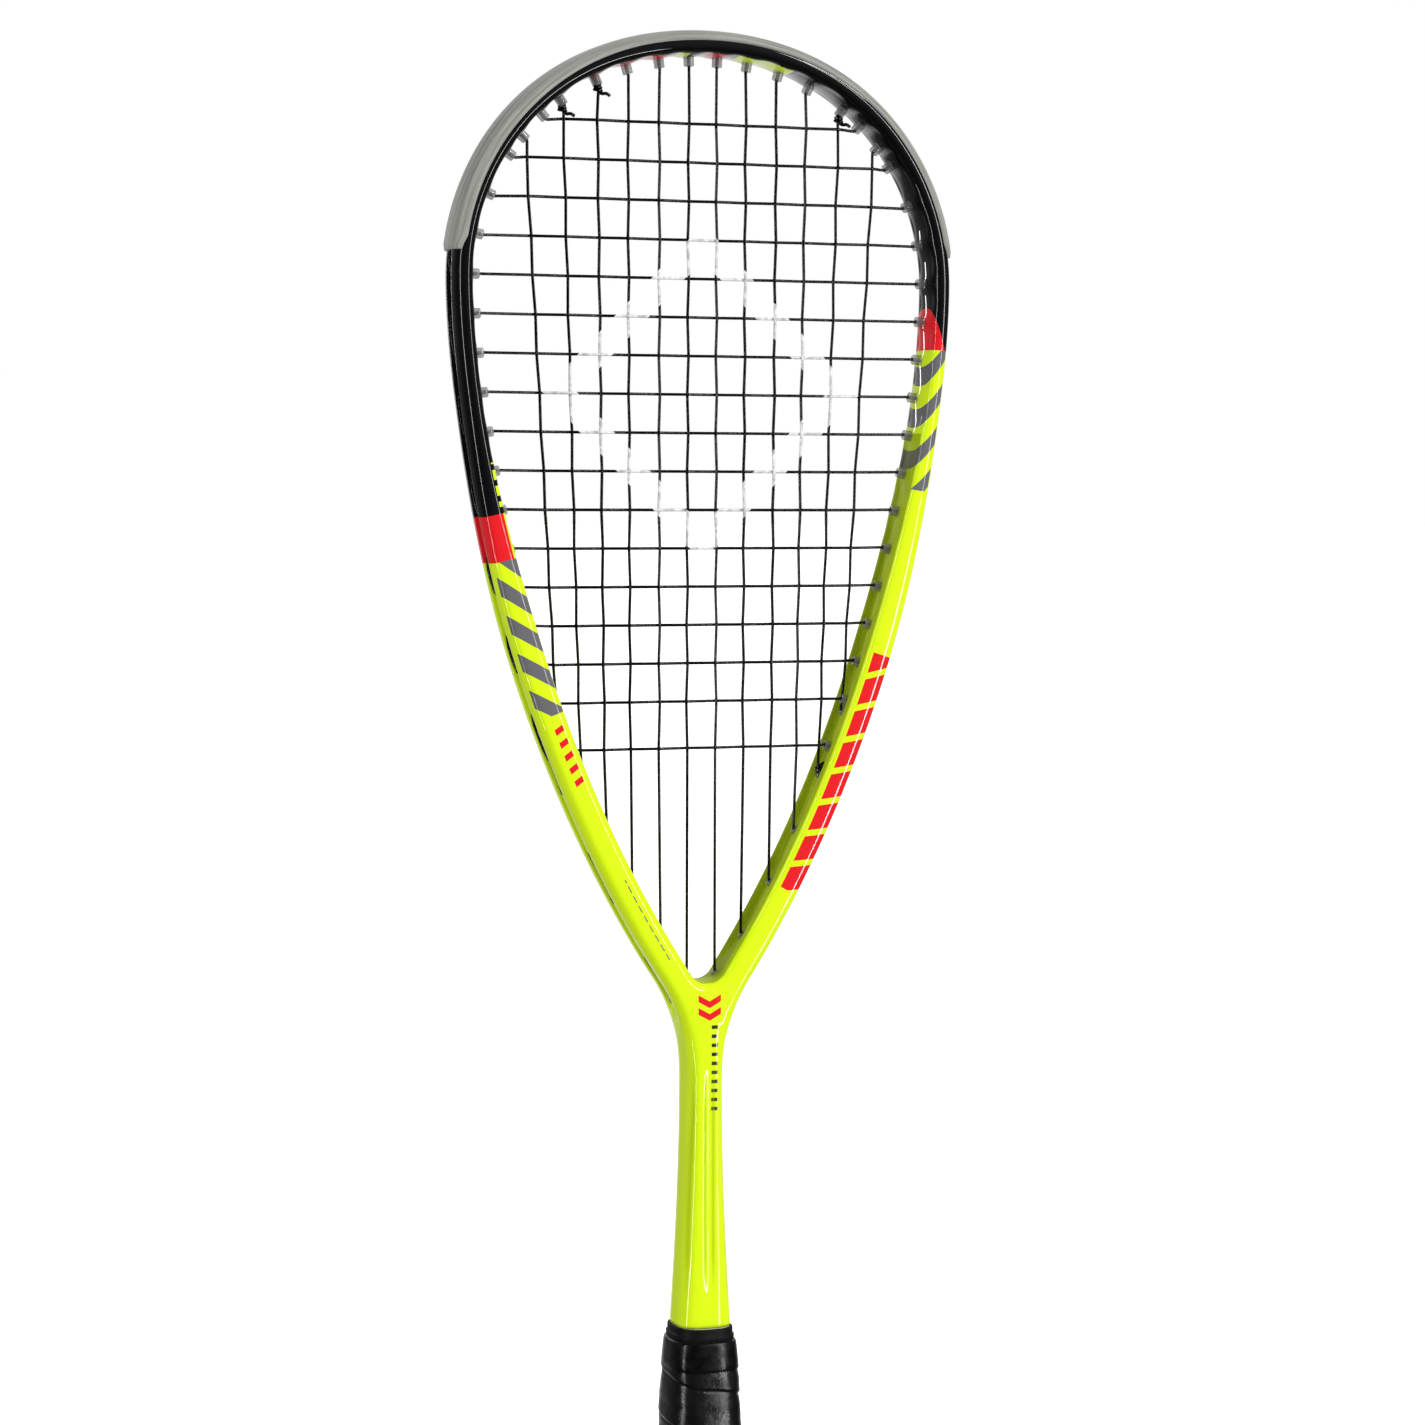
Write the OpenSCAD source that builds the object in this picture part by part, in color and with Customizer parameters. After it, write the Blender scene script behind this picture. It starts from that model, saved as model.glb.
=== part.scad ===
// Squash racket: one hollow composite frame with an open V throat, a head guard,
// grommet strips, a two-piece string bed of 12 mains and 17 crosses, and a wrapped grip.
//
// The racket stands upright. The origin is the centre of the butt's end face, +Z runs
// up the shaft to the head, X is the width of the head and -Y is the front.

/* [Head] */
// Height of the hoop's centre line at the very top
head_top = 680; // [672:1:682]
// Half-width of the head, on the tube's centre line
head_half_width = 99; // [94:1:101]
// Height of the widest place of the head
head_wide_height = 589; // [582:1:594]
// Half-width of the throat where its arms turn into the shaft
throat_half_width = 14; // [13.5:0.5:14.5]
// Height where the throat's arms turn into the shaft
throat_height = 318; // [316:1:320]

/* [Tube] */
// Thickness of the hoop in the plane of the strings
hoop_thickness = 8.8; // [8.6:0.1:9.4]
// Thickness of the throat's arms in the plane of the strings
arm_thickness = 11.7; // [11.2:0.1:12.4]
// Depth of the tube from front to back
tube_depth = 20.5; // [20:0.5:22]
// Wall of the tube
wall = 1.2; // [1:0.1:1.3]
// Depth of the string groove round the outside
groove_depth = 2.3; // [2.2:0.1:2.4]

/* [Shaft] */
// Thickness of the shaft at its neck
neck_thickness = 14.4; // [14:0.2:15]
// Thickness of the shaft where it meets the grip
flare_thickness = 22; // [21:0.5:23]
// Thickness of the shaft inside the handle
core_thickness = 17.2; // [16:0.2:18]

/* [Strings] */
// Diameter of the string
string_d = 1.2; // [1.1:0.05:1.2]
// Height of the top cross
cross_top = 650; // [648:0.5:652]
// Spacing of the crosses
cross_pitch = 15.06; // [14.9:0.02:15.2]
// Extra space above the lowest cross
last_gap = 3.4; // [2:0.2:4]
// Distance that the strings weave to each side of their plane
weave = 0.68; // [0.66:0.02:0.72]

/* [Head guard] */
// Height of the head guard's two ends
guard_end = 598; // [596:1:608]
// Thickness of the head guard on the outside of the hoop
guard_thickness = 1.6; // [1.4:0.1:1.8]

/* [Handle] */
// Height of the top of the handle
handle_top = 176; // [172:1:180]
// Thickness of the grip round the hand
grip_thickness = 30.4; // [29:0.2:32]
// How much deeper than thick the grip is
grip_extra_depth = 3.6; // [2:0.2:5]
// Thickness of the grip's leather
leather = 2; // [1.6:0.1:2.2]

/* [Hidden] */

// The strings' places, from the middle outwards: where each main meets the hoop
// and where it meets the throat.
main_top_x = [5.8, 18, 31, 43.5, 57.5, 72.5];
main_bottom_x = [6.2, 17.4, 29.3, 39.8, 50, 60];
main_count = 6;
cross_count = 17;
string_sides = 5;

// Grommets
hole_r = 2.4;
barrel_r = 2.2;
bore_r = 1.0;
shared_bore_r = 1.65;
groove_half = 2.8;
strip_half = 2.7;
strip_thickness = 0.6;
string_lift = 1.4;
hoop_barrel_height = 2.8;
bend = 0.8;
main_run_y = -1.35;
cross_run_y = 1.95;
shared_y = 0.65;

// Throat
neck_top = 262;
arch_r = 8.3;
arch_height = 322;
web_depth = 18.2;
groove_end = 2.32;
strip_bottom = 2.24;
shaft_start = 8;
core_half_depth = 9.8;

// Centre line of the right half, as three cubic curves joined end to end: hoop,
// arm of the throat, and the arm's turn into the shaft.
hoop_curve = [[0, head_top], [67, head_top],
    [head_half_width, head_wide_height + 42], [head_half_width, head_wide_height]];
arm_curve = [[head_half_width, head_wide_height], [head_half_width, head_wide_height - 54],
    [throat_half_width + 64.3, throat_height + 98], [throat_half_width, throat_height]];
turn_curve = [[throat_half_width, throat_height],
    [throat_half_width - 15, throat_height - 22.9], [2.5, neck_top + 13], [2.5, neck_top]];

function cubic(c, t) = pow(1 - t, 3) * c[0] + 3 * pow(1 - t, 2) * t * c[1]
    + 3 * (1 - t) * t * t * c[2] + pow(t, 3) * c[3];
function cubic_slope(c, t) = 3 * pow(1 - t, 2) * (c[1] - c[0])
    + 6 * (1 - t) * t * (c[2] - c[1]) + 3 * t * t * (c[3] - c[2]);
function unit(v) = v / norm(v);
function mix(a, b, t) = a + (b - a) * t;
function clamp01(t) = min(1, max(0, t));
function reversed(list) = [for (i = [len(list) - 1:-1:0]) list[i]];
function ease(low, high, z) = let (t = clamp01((z - low) / (high - low))) t * t * (3 - 2 * t);

// A place on the frame is one number: 0 at the top of the head, up to 3 down the
// right side to the neck, and down to -3 along the left side.
function curve_of(s) = s < 1 ? hoop_curve : s < 2 ? arm_curve : turn_curve;
function part_of(s) = s < 1 ? s : s < 2 ? s - 1 : s - 2;
function flip(s) = s < 0 ? -1 : 1;
function mid(s) = let (p = cubic(curve_of(abs(s)), part_of(abs(s)))) [flip(s) * p[0], p[1]];
function speed(s) = norm(cubic_slope(curve_of(abs(s)), part_of(abs(s))));
function along(s) = let (v = unit(cubic_slope(curve_of(abs(s)), part_of(abs(s)))))
    [v[0], flip(s) * v[1]];
function outward(s) = let (v = along(s)) [-v[1], v[0]];

// Size of the tube at a place
function arm_share(z) = 1 - ease(440, 545, z);
function neck_share(z) = 1 - ease(neck_top, throat_height + 12, z);
function half_thickness(s) = let (z = mid(s)[1])
    mix(mix(hoop_thickness / 2, arm_thickness / 2, arm_share(z)), neck_thickness / 2 - 2.5,
        neck_share(z));
function half_depth(s) = tube_depth / 2 + 0.6 * neck_share(mid(s)[1]);
function squareness(z) = mix(2.5, 4.2, arm_share(z));

// Point of a rounded-square outline at an angle
function power(v, e) = sign(v) * pow(abs(v), e);
function outline_point(p, q, n, a) = [p * power(cos(a), 2 / n), q * power(sin(a), 2 / n)];
function outline(p, q, n, count) = [for (i = [0:count - 1])
    outline_point(p, q, n, 360 * (i + 0.5) / count)];
function angle_at_y(q, n, y) = asin(pow(y / q, n / 2));

// Section of the tube: its string groove faces out (+), and a shallow channel in
// the arms of the throat faces in (-).
function tube_arc(s) = let (
    z = mid(s)[1],
    p = half_thickness(s),
    q = half_depth(s),
    n = squareness(z),
    a = angle_at_y(q, n, groove_half),
    b = 180 - angle_at_y(q, n, 8))
    [for (i = [0:5]) outline_point(p, q, n, mix(a, b, i / 5))];
function mirrored(arc) = [for (i = [len(arc) - 1:-1:0]) [arc[i][0], -arc[i][1]]];

function tube_section(s) = let (
    z = mid(s)[1],
    p = half_thickness(s),
    q = half_depth(s),
    flat_u = outline_point(p, q, squareness(z), 180 - angle_at_y(q, squareness(z), 5.5))[0],
    floor_u = mix(flat_u, 2.2 - p, arm_share(z)),
    arc = tube_arc(s))
    concat([[p - groove_depth, groove_half]], arc, [[floor_u, 6], [floor_u, -6]],
        mirrored(arc), [[p - groove_depth, -groove_half]]);
function plain_section(s) = let (arc = tube_arc(s) * (1 + turn_swell))
    concat(arc, mirrored(arc));

// Section of the hollow inside the tube, one wall in from the section above
function cavity_arc(s) = let (
    z = mid(s)[1],
    p = half_thickness(s) - wall,
    q = half_depth(s) - wall,
    n = squareness(z),
    a = angle_at_y(q, n, groove_half + wall),
    flat_u = mix(-p, 2.2 - p, arm_share(z)))
    [for (i = [0:4]) let (v = outline_point(p, q, n, mix(a, 150, i / 4)))
        [max(v[0], flat_u + i * 0.01), v[1]]];
function cavity_section(s) = let (u = half_thickness(s) - wall - groove_depth)
    concat([[u, groove_half + wall]], cavity_arc(s), mirrored(cavity_arc(s)),
        [[u, -groove_half - wall]]);
function plain_cavity(s) = let (arc = cavity_arc(s) * (1 + turn_swell))
    concat(arc, mirrored(arc));

// Places of the sections, shared by every piece that follows the tube
samples = concat([for (i = [0:11]) i / 12], [for (i = [0:13]) 1 + i / 14],
    [2, 2.1, 2.18, strip_bottom, groove_end]);
function both_sides(list) = concat([for (i = [len(list) - 1:-1:1]) -list[i]], list);

function place(s, uv) = let (m = mid(s), o = outward(s))
    [m[0] + o[0] * uv[0], uv[1], m[1] + o[1] * uv[0]];
function ring_at(s, section) = [for (uv = section) place(s, uv)];

// Closed solid through a row of rings
module skin(rings) {
    m = len(rings[0]);
    last = len(rings) - 1;
    sides = [for (i = [0:last - 1], j = [0:m - 1]) let (k = (j + 1) % m)
        each [[i * m + j, i * m + k, (i + 1) * m + k], [i * m + j, (i + 1) * m + k, (i + 1) * m + j]]];
    caps = [[for (j = [m - 1:-1:0]) j], [for (j = [0:m - 1]) last * m + j]];
    polyhedron(points = [for (r = rings) each r], faces = concat(sides, caps), convexity = 12);
}

// Tube-shaped solid between an outer and an inner row of rings
module sleeve(outer, inner) {
    m = len(outer[0]);
    last = len(outer) - 1;
    shift = m * len(outer);
    sides = [for (i = [0:last - 1], j = [0:m - 1]) let (k = (j + 1) % m, a = i * m, b = (i + 1) * m)
        each [[a + j, a + k, b + k], [a + j, b + k, b + j],
            [shift + a + j, shift + b + k, shift + a + k], [shift + a + j, shift + b + j, shift + b + k]]];
    ends = [for (j = [0:m - 1]) let (k = (j + 1) % m, b = last * m)
        each [[j, shift + j, shift + k], [j, shift + k, k],
            [b + j, b + k, shift + b + k], [b + j, shift + b + k, shift + b + j]]];
    polyhedron(points = concat([for (r = outer) each r], [for (r = inner) each r]),
        faces = concat(sides, ends), convexity = 8);
}

function flat_ring(z, points) = [for (p = points) [p[0], p[1], z]];

// --- String holes ---------------------------------------------------------

// The mouth of a grommet is where its string leaves for the string bed. In the
// hoop it stands proud of the tube, and in the throat it lies in the channel.
function mouth_u(s, inset) = -half_thickness(s) + inset;
function cross_inset(s) = -hoop_barrel_height * (1 - arm_share(mid(s)[1]));
function main_inset(s) = mix(-hoop_barrel_height, 1.6, arm_share(mid(s)[1]));
function mouth(s, inset) = let (p = place(s, [mouth_u(s, inset), 0])) [p[0], p[2]];

// Places where a mouth reaches an x or a height, by halving the interval
function find_main(x, a, b, n = 24) = let (c = (a + b) / 2)
    n == 0 ? c : ((mouth(c, main_inset(c))[0] < x) == (a < 1)) ? find_main(x, c, b, n - 1)
    : find_main(x, a, c, n - 1);
function find_cross(z, a = 0, b = 2, n = 24) = let (c = (a + b) / 2)
    n == 0 ? c : mouth(c, cross_inset(c))[1] > z ? find_cross(z, c, b, n - 1)
    : find_cross(z, a, c, n - 1);

function run_point(s, y) = place(s, [half_thickness(s) - groove_depth + string_lift, y]);

// A hole: its place on the frame outside, the mouth inside, and the string's
// offset from the middle of the hole. The innermost mains leave through the arch.
function hole(s, m, y = 0) = [s, m, y];
function top_hole(i, y = 0) = let (s = find_main(main_top_x[abs(i) - 1], 0, 0.9), f = flip(i))
    hole(f * s, mouth(f * s, main_inset(s)), y);
function bottom_hole(i, y = 0) = let (f = flip(i))
    abs(i) == 1 ? hole(f * 2.18, [f * main_bottom_x[0], arch_height - 5.4], y)
    : let (s = find_main(main_bottom_x[abs(i) - 1], 1.0001, 2.2))
        hole(f * (s + 3 / speed(s)), mouth(f * s, main_inset(s)), y);
function cross_height(k) = cross_top - cross_pitch * (k - 1) - (k == cross_count ? last_gap : 0);
function cross_hole(k, f, y = 0) = let (s = find_cross(cross_height(k)))
    hole(f * s, mouth(f * s, cross_inset(s)), y);

mains = [for (i = [-main_count:main_count]) if (i != 0) i];
top_holes = [for (i = mains) top_hole(i)];
bottom_holes = [for (i = mains) bottom_hole(i)];
cross_holes = [for (f = [-1, 1]) [for (k = [1:cross_count]) cross_hole(k, f)]];
all_holes = concat(top_holes, bottom_holes, cross_holes[0], cross_holes[1]);

function outer_end(h) = let (p = run_point(h[0], 0)) [p[0], p[2]];
function hole_axis(h) = unit(outer_end(h) - h[1]);

// Turns a child that stands on +Z to point outwards along a hole, from its mouth
module at_hole(h) {
    d = hole_axis(h);
    translate([h[1][0], 0, h[1][1]])
        rotate([0, atan2(d[0], d[1]), 0])
            children();
}

// --- Frame ----------------------------------------------------------------

// The arms' turns into the shaft start inside the grooved tube's ends, and are a
// little larger, so that they close its groove
turn_places = [2.25, groove_end, 2.5, 2.66, 2.84, 3];
turn_swell = 0.01;

function flare_share(z) = pow(clamp01((neck_top - z) / (neck_top - handle_top)), 1.5);
function shaft_half_thickness(z) = mix(neck_thickness, flare_thickness, flare_share(z)) / 2;
function shaft_half_depth(z) = tube_depth / 2 + 0.6 + 0.8 * ease(230, handle_top, z);
function shaft_ring(z, inset) = flat_ring(z, outline(shaft_half_thickness(z) - inset,
    shaft_half_depth(z) - inset, 3.4, 16));
function core_ring(z, inset) = flat_ring(z, outline(core_thickness / 2 - inset,
    core_half_depth - inset, 3.4, 16));

module tube_with_groove() {
    skin([for (s = both_sides(samples)) ring_at(s, tube_section(s))]);
    skin([for (s = turn_places) ring_at(s, plain_section(s))]);
    skin([for (s = reversed(-turn_places)) ring_at(s, plain_section(s))]);
}

module tube_cavity() {
    skin([for (s = both_sides(samples)) ring_at(s, cavity_section(s))]);
    skin([for (s = turn_places) ring_at(s, plain_cavity(s))]);
    skin([for (s = reversed(-turn_places)) ring_at(s, plain_cavity(s))]);
}

shaft_heights = [neck_top + 1, 245, 225, 210, 198, 188];

module shaft() {
    skin(concat([for (z = shaft_heights) shaft_ring(z, 0)],
        [shaft_ring(handle_top + 0.3, 0), core_ring(handle_top, 0), core_ring(shaft_start, 0)]));
}

module shaft_cavity() {
    skin(concat([for (z = shaft_heights) shaft_ring(z, wall)],
        [core_ring(handle_top + 2, wall), core_ring(shaft_start - 2, wall)]));
}

// Fills the corner between the two arms, down to the neck, under a round arch
module throat_web() {
    left = [for (i = [0:10]) mid(-3 + 0.1 * i)];
    right = [for (i = [10:-1:0]) mid(3 - 0.1 * i)];
    rotate([90, 0, 0])
        linear_extrude(web_depth, center = true)
            difference() {
                polygon(concat(left, right));
                translate([0, arch_height])
                    circle(r = arch_r, $fn = 40);
            }
}

// Cuts one string hole, which narrows a little towards the string bed
module hole_cutter(h) {
    at_hole(h)
        hull() {
            translate([0, 0, -2])
                cylinder(r = hole_r - 0.06, h = 1, $fn = 6);
            translate([0, 0, 25])
                cylinder(r = hole_r, h = 1, $fn = 6);
        }
}

module frame() {
    color([0.87, 1, 0.08])
        difference() {
            union() {
                tube_with_groove();
                throat_web();
                shaft();
            }
            tube_cavity();
            shaft_cavity();
            for (h = all_holes)
                hole_cutter(h);
        }
}

// --- Head guard -----------------------------------------------------------

function guard_section(s) = let (
    p = half_thickness(s),
    q = half_depth(s),
    n = squareness(mid(s)[1]),
    reach = 66,
    outside = [for (i = [-4:4]) outline_point(p + guard_thickness, q + 0.7, n, reach * i / 4)],
    inside = [for (i = [4:-1:-4]) outline_point(p + 0.03, q + 0.03, n, reach * i / 4)])
    concat(outside, inside);

module bumper_guard() {
    places = [for (s = both_sides(samples)) if (mid(s)[1] > guard_end) s];
    color([0.64, 0.64, 0.6])
        skin([for (s = places) ring_at(s, guard_section(s))]);
}

// --- Grommet strips -------------------------------------------------------

function strip_section(s) = let (u = half_thickness(s) - groove_depth)
    [[u + 0.01, -strip_half], [u + strip_thickness, -strip_half],
        [u + strip_thickness, strip_half], [u + 0.01, strip_half]];

module barrel(h) {
    length = norm(outer_end(h) - h[1]) - string_lift + strip_thickness;
    at_hole(h)
        hull() {
            cylinder(r = barrel_r - 0.1, h = 0.2, $fn = 6);
            translate([0, 0, length - 0.3])
                cylinder(r = barrel_r, h = 0.2, $fn = 6);
        }
}

// Four holes hold two strings each, so their bores are wider
shared_holes = [top_hole(-5), top_hole(5), top_hole(-4), bottom_hole(5)];
function is_shared(h) = len([for (t = shared_holes) if (norm(t[1] - h[1]) < 0.01) 1]) > 0;

module bore(h) {
    at_hole(h)
        translate([0, 0, -1])
            cylinder(r = is_shared(h) ? shared_bore_r : bore_r, h = 40, $fn = 6);
}

module grommet_strip(from, to) {
    places = [for (s = both_sides(samples)) if (s >= from && s <= to) s];
    held = [for (h = all_holes) if (h[0] > from && h[0] < to) h];
    color([0.72, 0.74, 0.74])
        difference() {
            union() {
                skin([for (s = places) ring_at(s, strip_section(s))]);
                for (h = held)
                    barrel(h);
            }
            for (h = held)
                bore(h);
        }
}

// Places where one strip ends and the next begins
strip_split = 11 / 12;
throat_split = 1.5;

module head_grommet_strip() { grommet_strip(-strip_split, strip_split); }
module left_grommet_strip() { grommet_strip(-throat_split, -strip_split); }
module right_grommet_strip() { grommet_strip(strip_split, throat_split); }
module left_throat_grommets() { grommet_strip(-strip_bottom, -throat_split); }
module right_throat_grommets() { grommet_strip(throat_split, strip_bottom); }

// --- Strings --------------------------------------------------------------

function point3(p, y) = [p[0], y, p[1]];

// From the string bed out through a hole
function out_through(h) = [point3(h[1] - bend * hole_axis(h), h[2]),
    point3(outer_end(h) - bend * hole_axis(h), h[2])];
function in_through(h) = let (p = out_through(h)) [p[1], p[0]];

// Along the groove from one hole to another
function run(a, b, y) = let (
    f = sign(b[0] - a[0]),
    count = max(2, ceil(norm(outer_end(b) - outer_end(a)) / 9)),
    start = run_point(a[0], a[2]) + bend * f * point3(along(a[0]), 0),
    end = run_point(b[0], b[2]) - bend * f * point3(along(b[0]), 0))
    concat([start], [for (i = [1:count]) run_point(mix(a[0], b[0], i / (count + 1)), y)], [end]);

// Column of a main, 1 to 12 from the left, which sets its side of each cross
function column(i) = i < 0 ? i + 7 : i + 6;
function weave_y(i, k) = (column(i) + k) % 2 == 0 ? weave : -weave;
function main_ends(i) = let (n = i < 0 ? i + main_count : i + main_count - 1)
    [top_holes[n][1], bottom_holes[n][1]];
function main_x(i, z) = let (e = main_ends(i)) mix(e[0][0], e[1][0], (e[0][1] - z) / (e[0][1] - e[1][1]));
function crosses_main(i, k) = let (e = main_ends(i), z = cross_height(k))
    z < e[0][1] - 1.5 && z > e[1][1] + 1.5;
function main_points(i) = [for (k = [1:cross_count]) if (crosses_main(i, k))
    [main_x(i, cross_height(k)), weave_y(i, k), cross_height(k)]];
function cross_points(k) = [for (i = mains) if (crosses_main(i, k))
    [main_x(i, cross_height(k)), -weave_y(i, k), cross_height(k)]];

// One main from its top hole to its bottom hole
function down(i, y_top = 0, y_bottom = 0) = concat(in_through(top_hole(i, y_top)),
    main_points(i), out_through(bottom_hole(i, y_bottom)));
function up(i, y_top = 0, y_bottom = 0) = reversed(down(i, y_top, y_bottom));

module string_along(points) {
    r = string_d / 2;
    last = len(points) - 1;
    rings = [for (i = [0:last])
        let (
            t = unit(i == 0 ? points[1] - points[0] : i == last ? points[last] - points[last - 1]
                : unit(points[i] - points[i - 1]) + unit(points[i + 1] - points[i])),
            side = unit(cross(t, [0, 1, 0])),
            lift = cross(side, t))
        [for (j = [0:string_sides - 1]) let (a = 360 * (j + 0.5) / string_sides)
            points[i] + r * cos(a) * side + r * sin(a) * lift]];
    skin(rings);
}

// The main string: tied off beside main 11, out to main 12, then to and fro across
// the bed to main 1, and tied off beside main 2.
function tail(h) = [point3(h[1] - 0.3 * hole_axis(h), h[2]),
    point3(outer_end(h) - bend * hole_axis(h), h[2])];

main_path = concat(
    tail(top_hole(5, -shared_y)),
    run(top_hole(5, -shared_y), top_hole(6), main_run_y),
    down(6),
    run(bottom_hole(6), bottom_hole(5, -shared_y), main_run_y),
    up(5, shared_y, -shared_y),
    run(top_hole(5, shared_y), top_hole(4), main_run_y),
    down(4),
    run(bottom_hole(4), bottom_hole(3), main_run_y),
    up(3),
    run(top_hole(3), top_hole(2), main_run_y),
    down(2),
    run(bottom_hole(2), bottom_hole(1), main_run_y),
    up(1),
    run(top_hole(1), top_hole(-1), main_run_y),
    down(-1),
    run(bottom_hole(-1), bottom_hole(-2), main_run_y),
    up(-2),
    run(top_hole(-2), top_hole(-3), main_run_y),
    down(-3),
    run(bottom_hole(-3), bottom_hole(-4), main_run_y),
    up(-4, -shared_y),
    run(top_hole(-4, -shared_y), top_hole(-5, shared_y), main_run_y),
    down(-5, shared_y),
    run(bottom_hole(-5), bottom_hole(-6), main_run_y),
    up(-6),
    run(top_hole(-6), top_hole(-5, -shared_y), main_run_y),
    reversed(tail(top_hole(-5, -shared_y))));

module main_string() {
    color([0.06, 0.06, 0.06])
        string_along(main_path);
}

// The cross string: tied off beside main 3, round to the top cross, down the bed
// from side to side, and tied off beside main 11.
function cross_from(k) = k % 2 == 1 ? -1 : 1;
function cross_strand(k) = let (f = cross_from(k),
    points = f < 0 ? cross_points(k) : reversed(cross_points(k)))
    concat(in_through(cross_hole(k, f)), points, out_through(cross_hole(k, -f)));
cross_path = concat(
    tail(top_hole(-4, shared_y)),
    run(top_hole(-4, shared_y), cross_hole(1, -1), cross_run_y),
    [for (k = [1:cross_count]) each concat(cross_strand(k), k < cross_count
        ? run(cross_hole(k, -cross_from(k)), cross_hole(k + 1, -cross_from(k)), cross_run_y) : [])],
    run(cross_hole(cross_count, 1), bottom_hole(5, shared_y), cross_run_y),
    reversed(tail(bottom_hole(5, shared_y))));

module cross_string() {
    color([0.1, 0.1, 0.1])
        string_along(cross_path);
}

// A knot: two turns round the string that it is tied to, and the cut end
module knot(h, y, way) {
    turn_r = 1.45;
    wire_r = 0.55;
    translate([h[1][0], y, h[1][1] + way * 2.2]) {
        for (i = [0:1])
            translate([0, 0, way * i * 2 * wire_r])
                rotate_extrude($fn = 24)
                    translate([turn_r, 0])
                        circle(r = wire_r, $fn = 16);
        translate([0, turn_r + wire_r * 2.1, 0])
            cylinder(r = wire_r, h = 2.6, center = true, $fn = 16);
    }
}

module main_string_knots() {
    color([0.05, 0.05, 0.05]) {
        knot(top_hole(-5), shared_y, -1);
        knot(top_hole(5), shared_y, -1);
    }
}

module cross_string_knots() {
    color([0.05, 0.05, 0.05]) {
        knot(top_hole(-4), -shared_y, -1);
        knot(bottom_hole(5), -shared_y, 1);
    }
}

// --- Handle ---------------------------------------------------------------

handle_sides = 20;
leather_bottom = 8;
leather_top = 168;
tape_bottom = 163;
cap_height = 20;
cap_wall = 1;
cap_floor = 3;
taper_start = 124;
handle_heights = [60, taper_start, 134, 142, 150, 157, tape_bottom, leather_top];

function grip_half(z) = grip_thickness / 2 - 2.6 * pow(clamp01((z - taper_start) / 48), 2);
function grip_points(z, inset) = outline(grip_half(z) - inset,
    grip_half(z) + grip_extra_depth / 2 - inset, 3, handle_sides);
function grip_ring(z, inset) = flat_ring(z, grip_points(z, inset));

// Half of the foam handle: the outside of the grip's core and a slot for the shaft
function pallet_ring(z, inset, f) = let (
    p = grip_half(z) - leather - inset,
    q = grip_half(z) + grip_extra_depth / 2 - leather - inset,
    outer = [for (i = [0:10]) outline_point(p, q, 3, -90 + 18 * i)],
    slot = [for (i = [8:-1:0]) outline_point(core_thickness / 2 + 0.1, core_half_depth + 0.1, 3,
        -90 + 22.5 * i)])
    [for (v = concat(outer, slot)) [f * v[0], v[1], z]];

module pallet(f) {
    low = [[4, cap_wall + 0.1], [19.8, cap_wall + 0.1], [20.1, 0.02]];
    rings = concat([for (v = low) pallet_ring(v[0], v[1], f)],
        [for (z = concat(handle_heights, [handle_top - 0.1])) pallet_ring(z, 0.02, f)]);
    color([0.86, 0.84, 0.78])
        difference() {
            skin(reversed(f > 0 ? rings : [for (r = rings) reversed(r)]));
            staples(0.05);
        }
}

module handle_pallet_left() { pallet(-1); }
module handle_pallet_right() { pallet(1); }

module shaft_foam_core() {
    color([0.9, 0.88, 0.8])
        skin([for (z = [45, shaft_start + 1]) core_ring(z, wall + 0.05)]);
}

module butt_cap() {
    color([0.05, 0.05, 0.05])
        difference() {
            union() {
                linear_extrude(leather_bottom - 0.1)
                    polygon(grip_points(0, -1));
                linear_extrude(cap_height)
                    polygon(grip_points(0, leather + 0.02));
            }
            translate([0, 0, cap_floor])
                linear_extrude(cap_height)
                    polygon(grip_points(0, leather + cap_wall));
            translate([0, 0, -1])
                cylinder(r = 11.2, h = 2.2, $fn = 64);
            staples(0.05);
        }
}

module butt_cap_disc() {
    color([0.75, 0.1, 0.12])
        translate([0, 0, 0.2])
            cylinder(r = 11, h = 1, $fn = 64);
}

// Four wire staples through the cap's skirt into the foam
module staple(gap) {
    wire = 0.6 + 2 * gap;
    translate([0, 0.3, 0])
        cube([8 + wire, wire, wire], center = true);
    for (x = [-4, 4])
        translate([x, 3, 0])
            cube([wire, 6, wire], center = true);
}

module staples(gap) {
    front = grip_half(0) + grip_extra_depth / 2 - leather;
    for (f = [-1, 1], x = [-6, 6])
        scale([1, f, 1])
            translate([x, -front + 0.3, 14])
                staple(gap);
}

module butt_cap_staples() {
    color([0.7, 0.7, 0.72])
        staples(0);
}

module grip_leather() {
    heights = concat([leather_bottom, 20.1], handle_heights);
    color([0.09, 0.09, 0.09])
        sleeve([for (z = reversed(heights)) grip_ring(z, 0)],
            [for (z = reversed(heights)) grip_ring(z, leather)]);
}

module grip_finishing_tape() {
    color([0.03, 0.03, 0.03])
        sleeve([for (z = [leather_top, tape_bottom]) grip_ring(z, -0.35)],
            [for (z = [leather_top, tape_bottom]) grip_ring(z, -0.02)]);
}

module grip_collar() {
    heights = [handle_top - 0.1, leather_top + 0.1];
    color([0.04, 0.04, 0.04])
        sleeve([for (z = heights) grip_ring(z, leather - 1.2)],
            [for (z = heights) grip_ring(z, leather)]);
}

frame();
bumper_guard();
head_grommet_strip();
left_grommet_strip();
right_grommet_strip();
left_throat_grommets();
right_throat_grommets();
main_string();
cross_string();
main_string_knots();
cross_string_knots();
handle_pallet_left();
handle_pallet_right();
shaft_foam_core();
butt_cap();
butt_cap_disc();
butt_cap_staples();
grip_leather();
grip_finishing_tape();
grip_collar();
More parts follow.
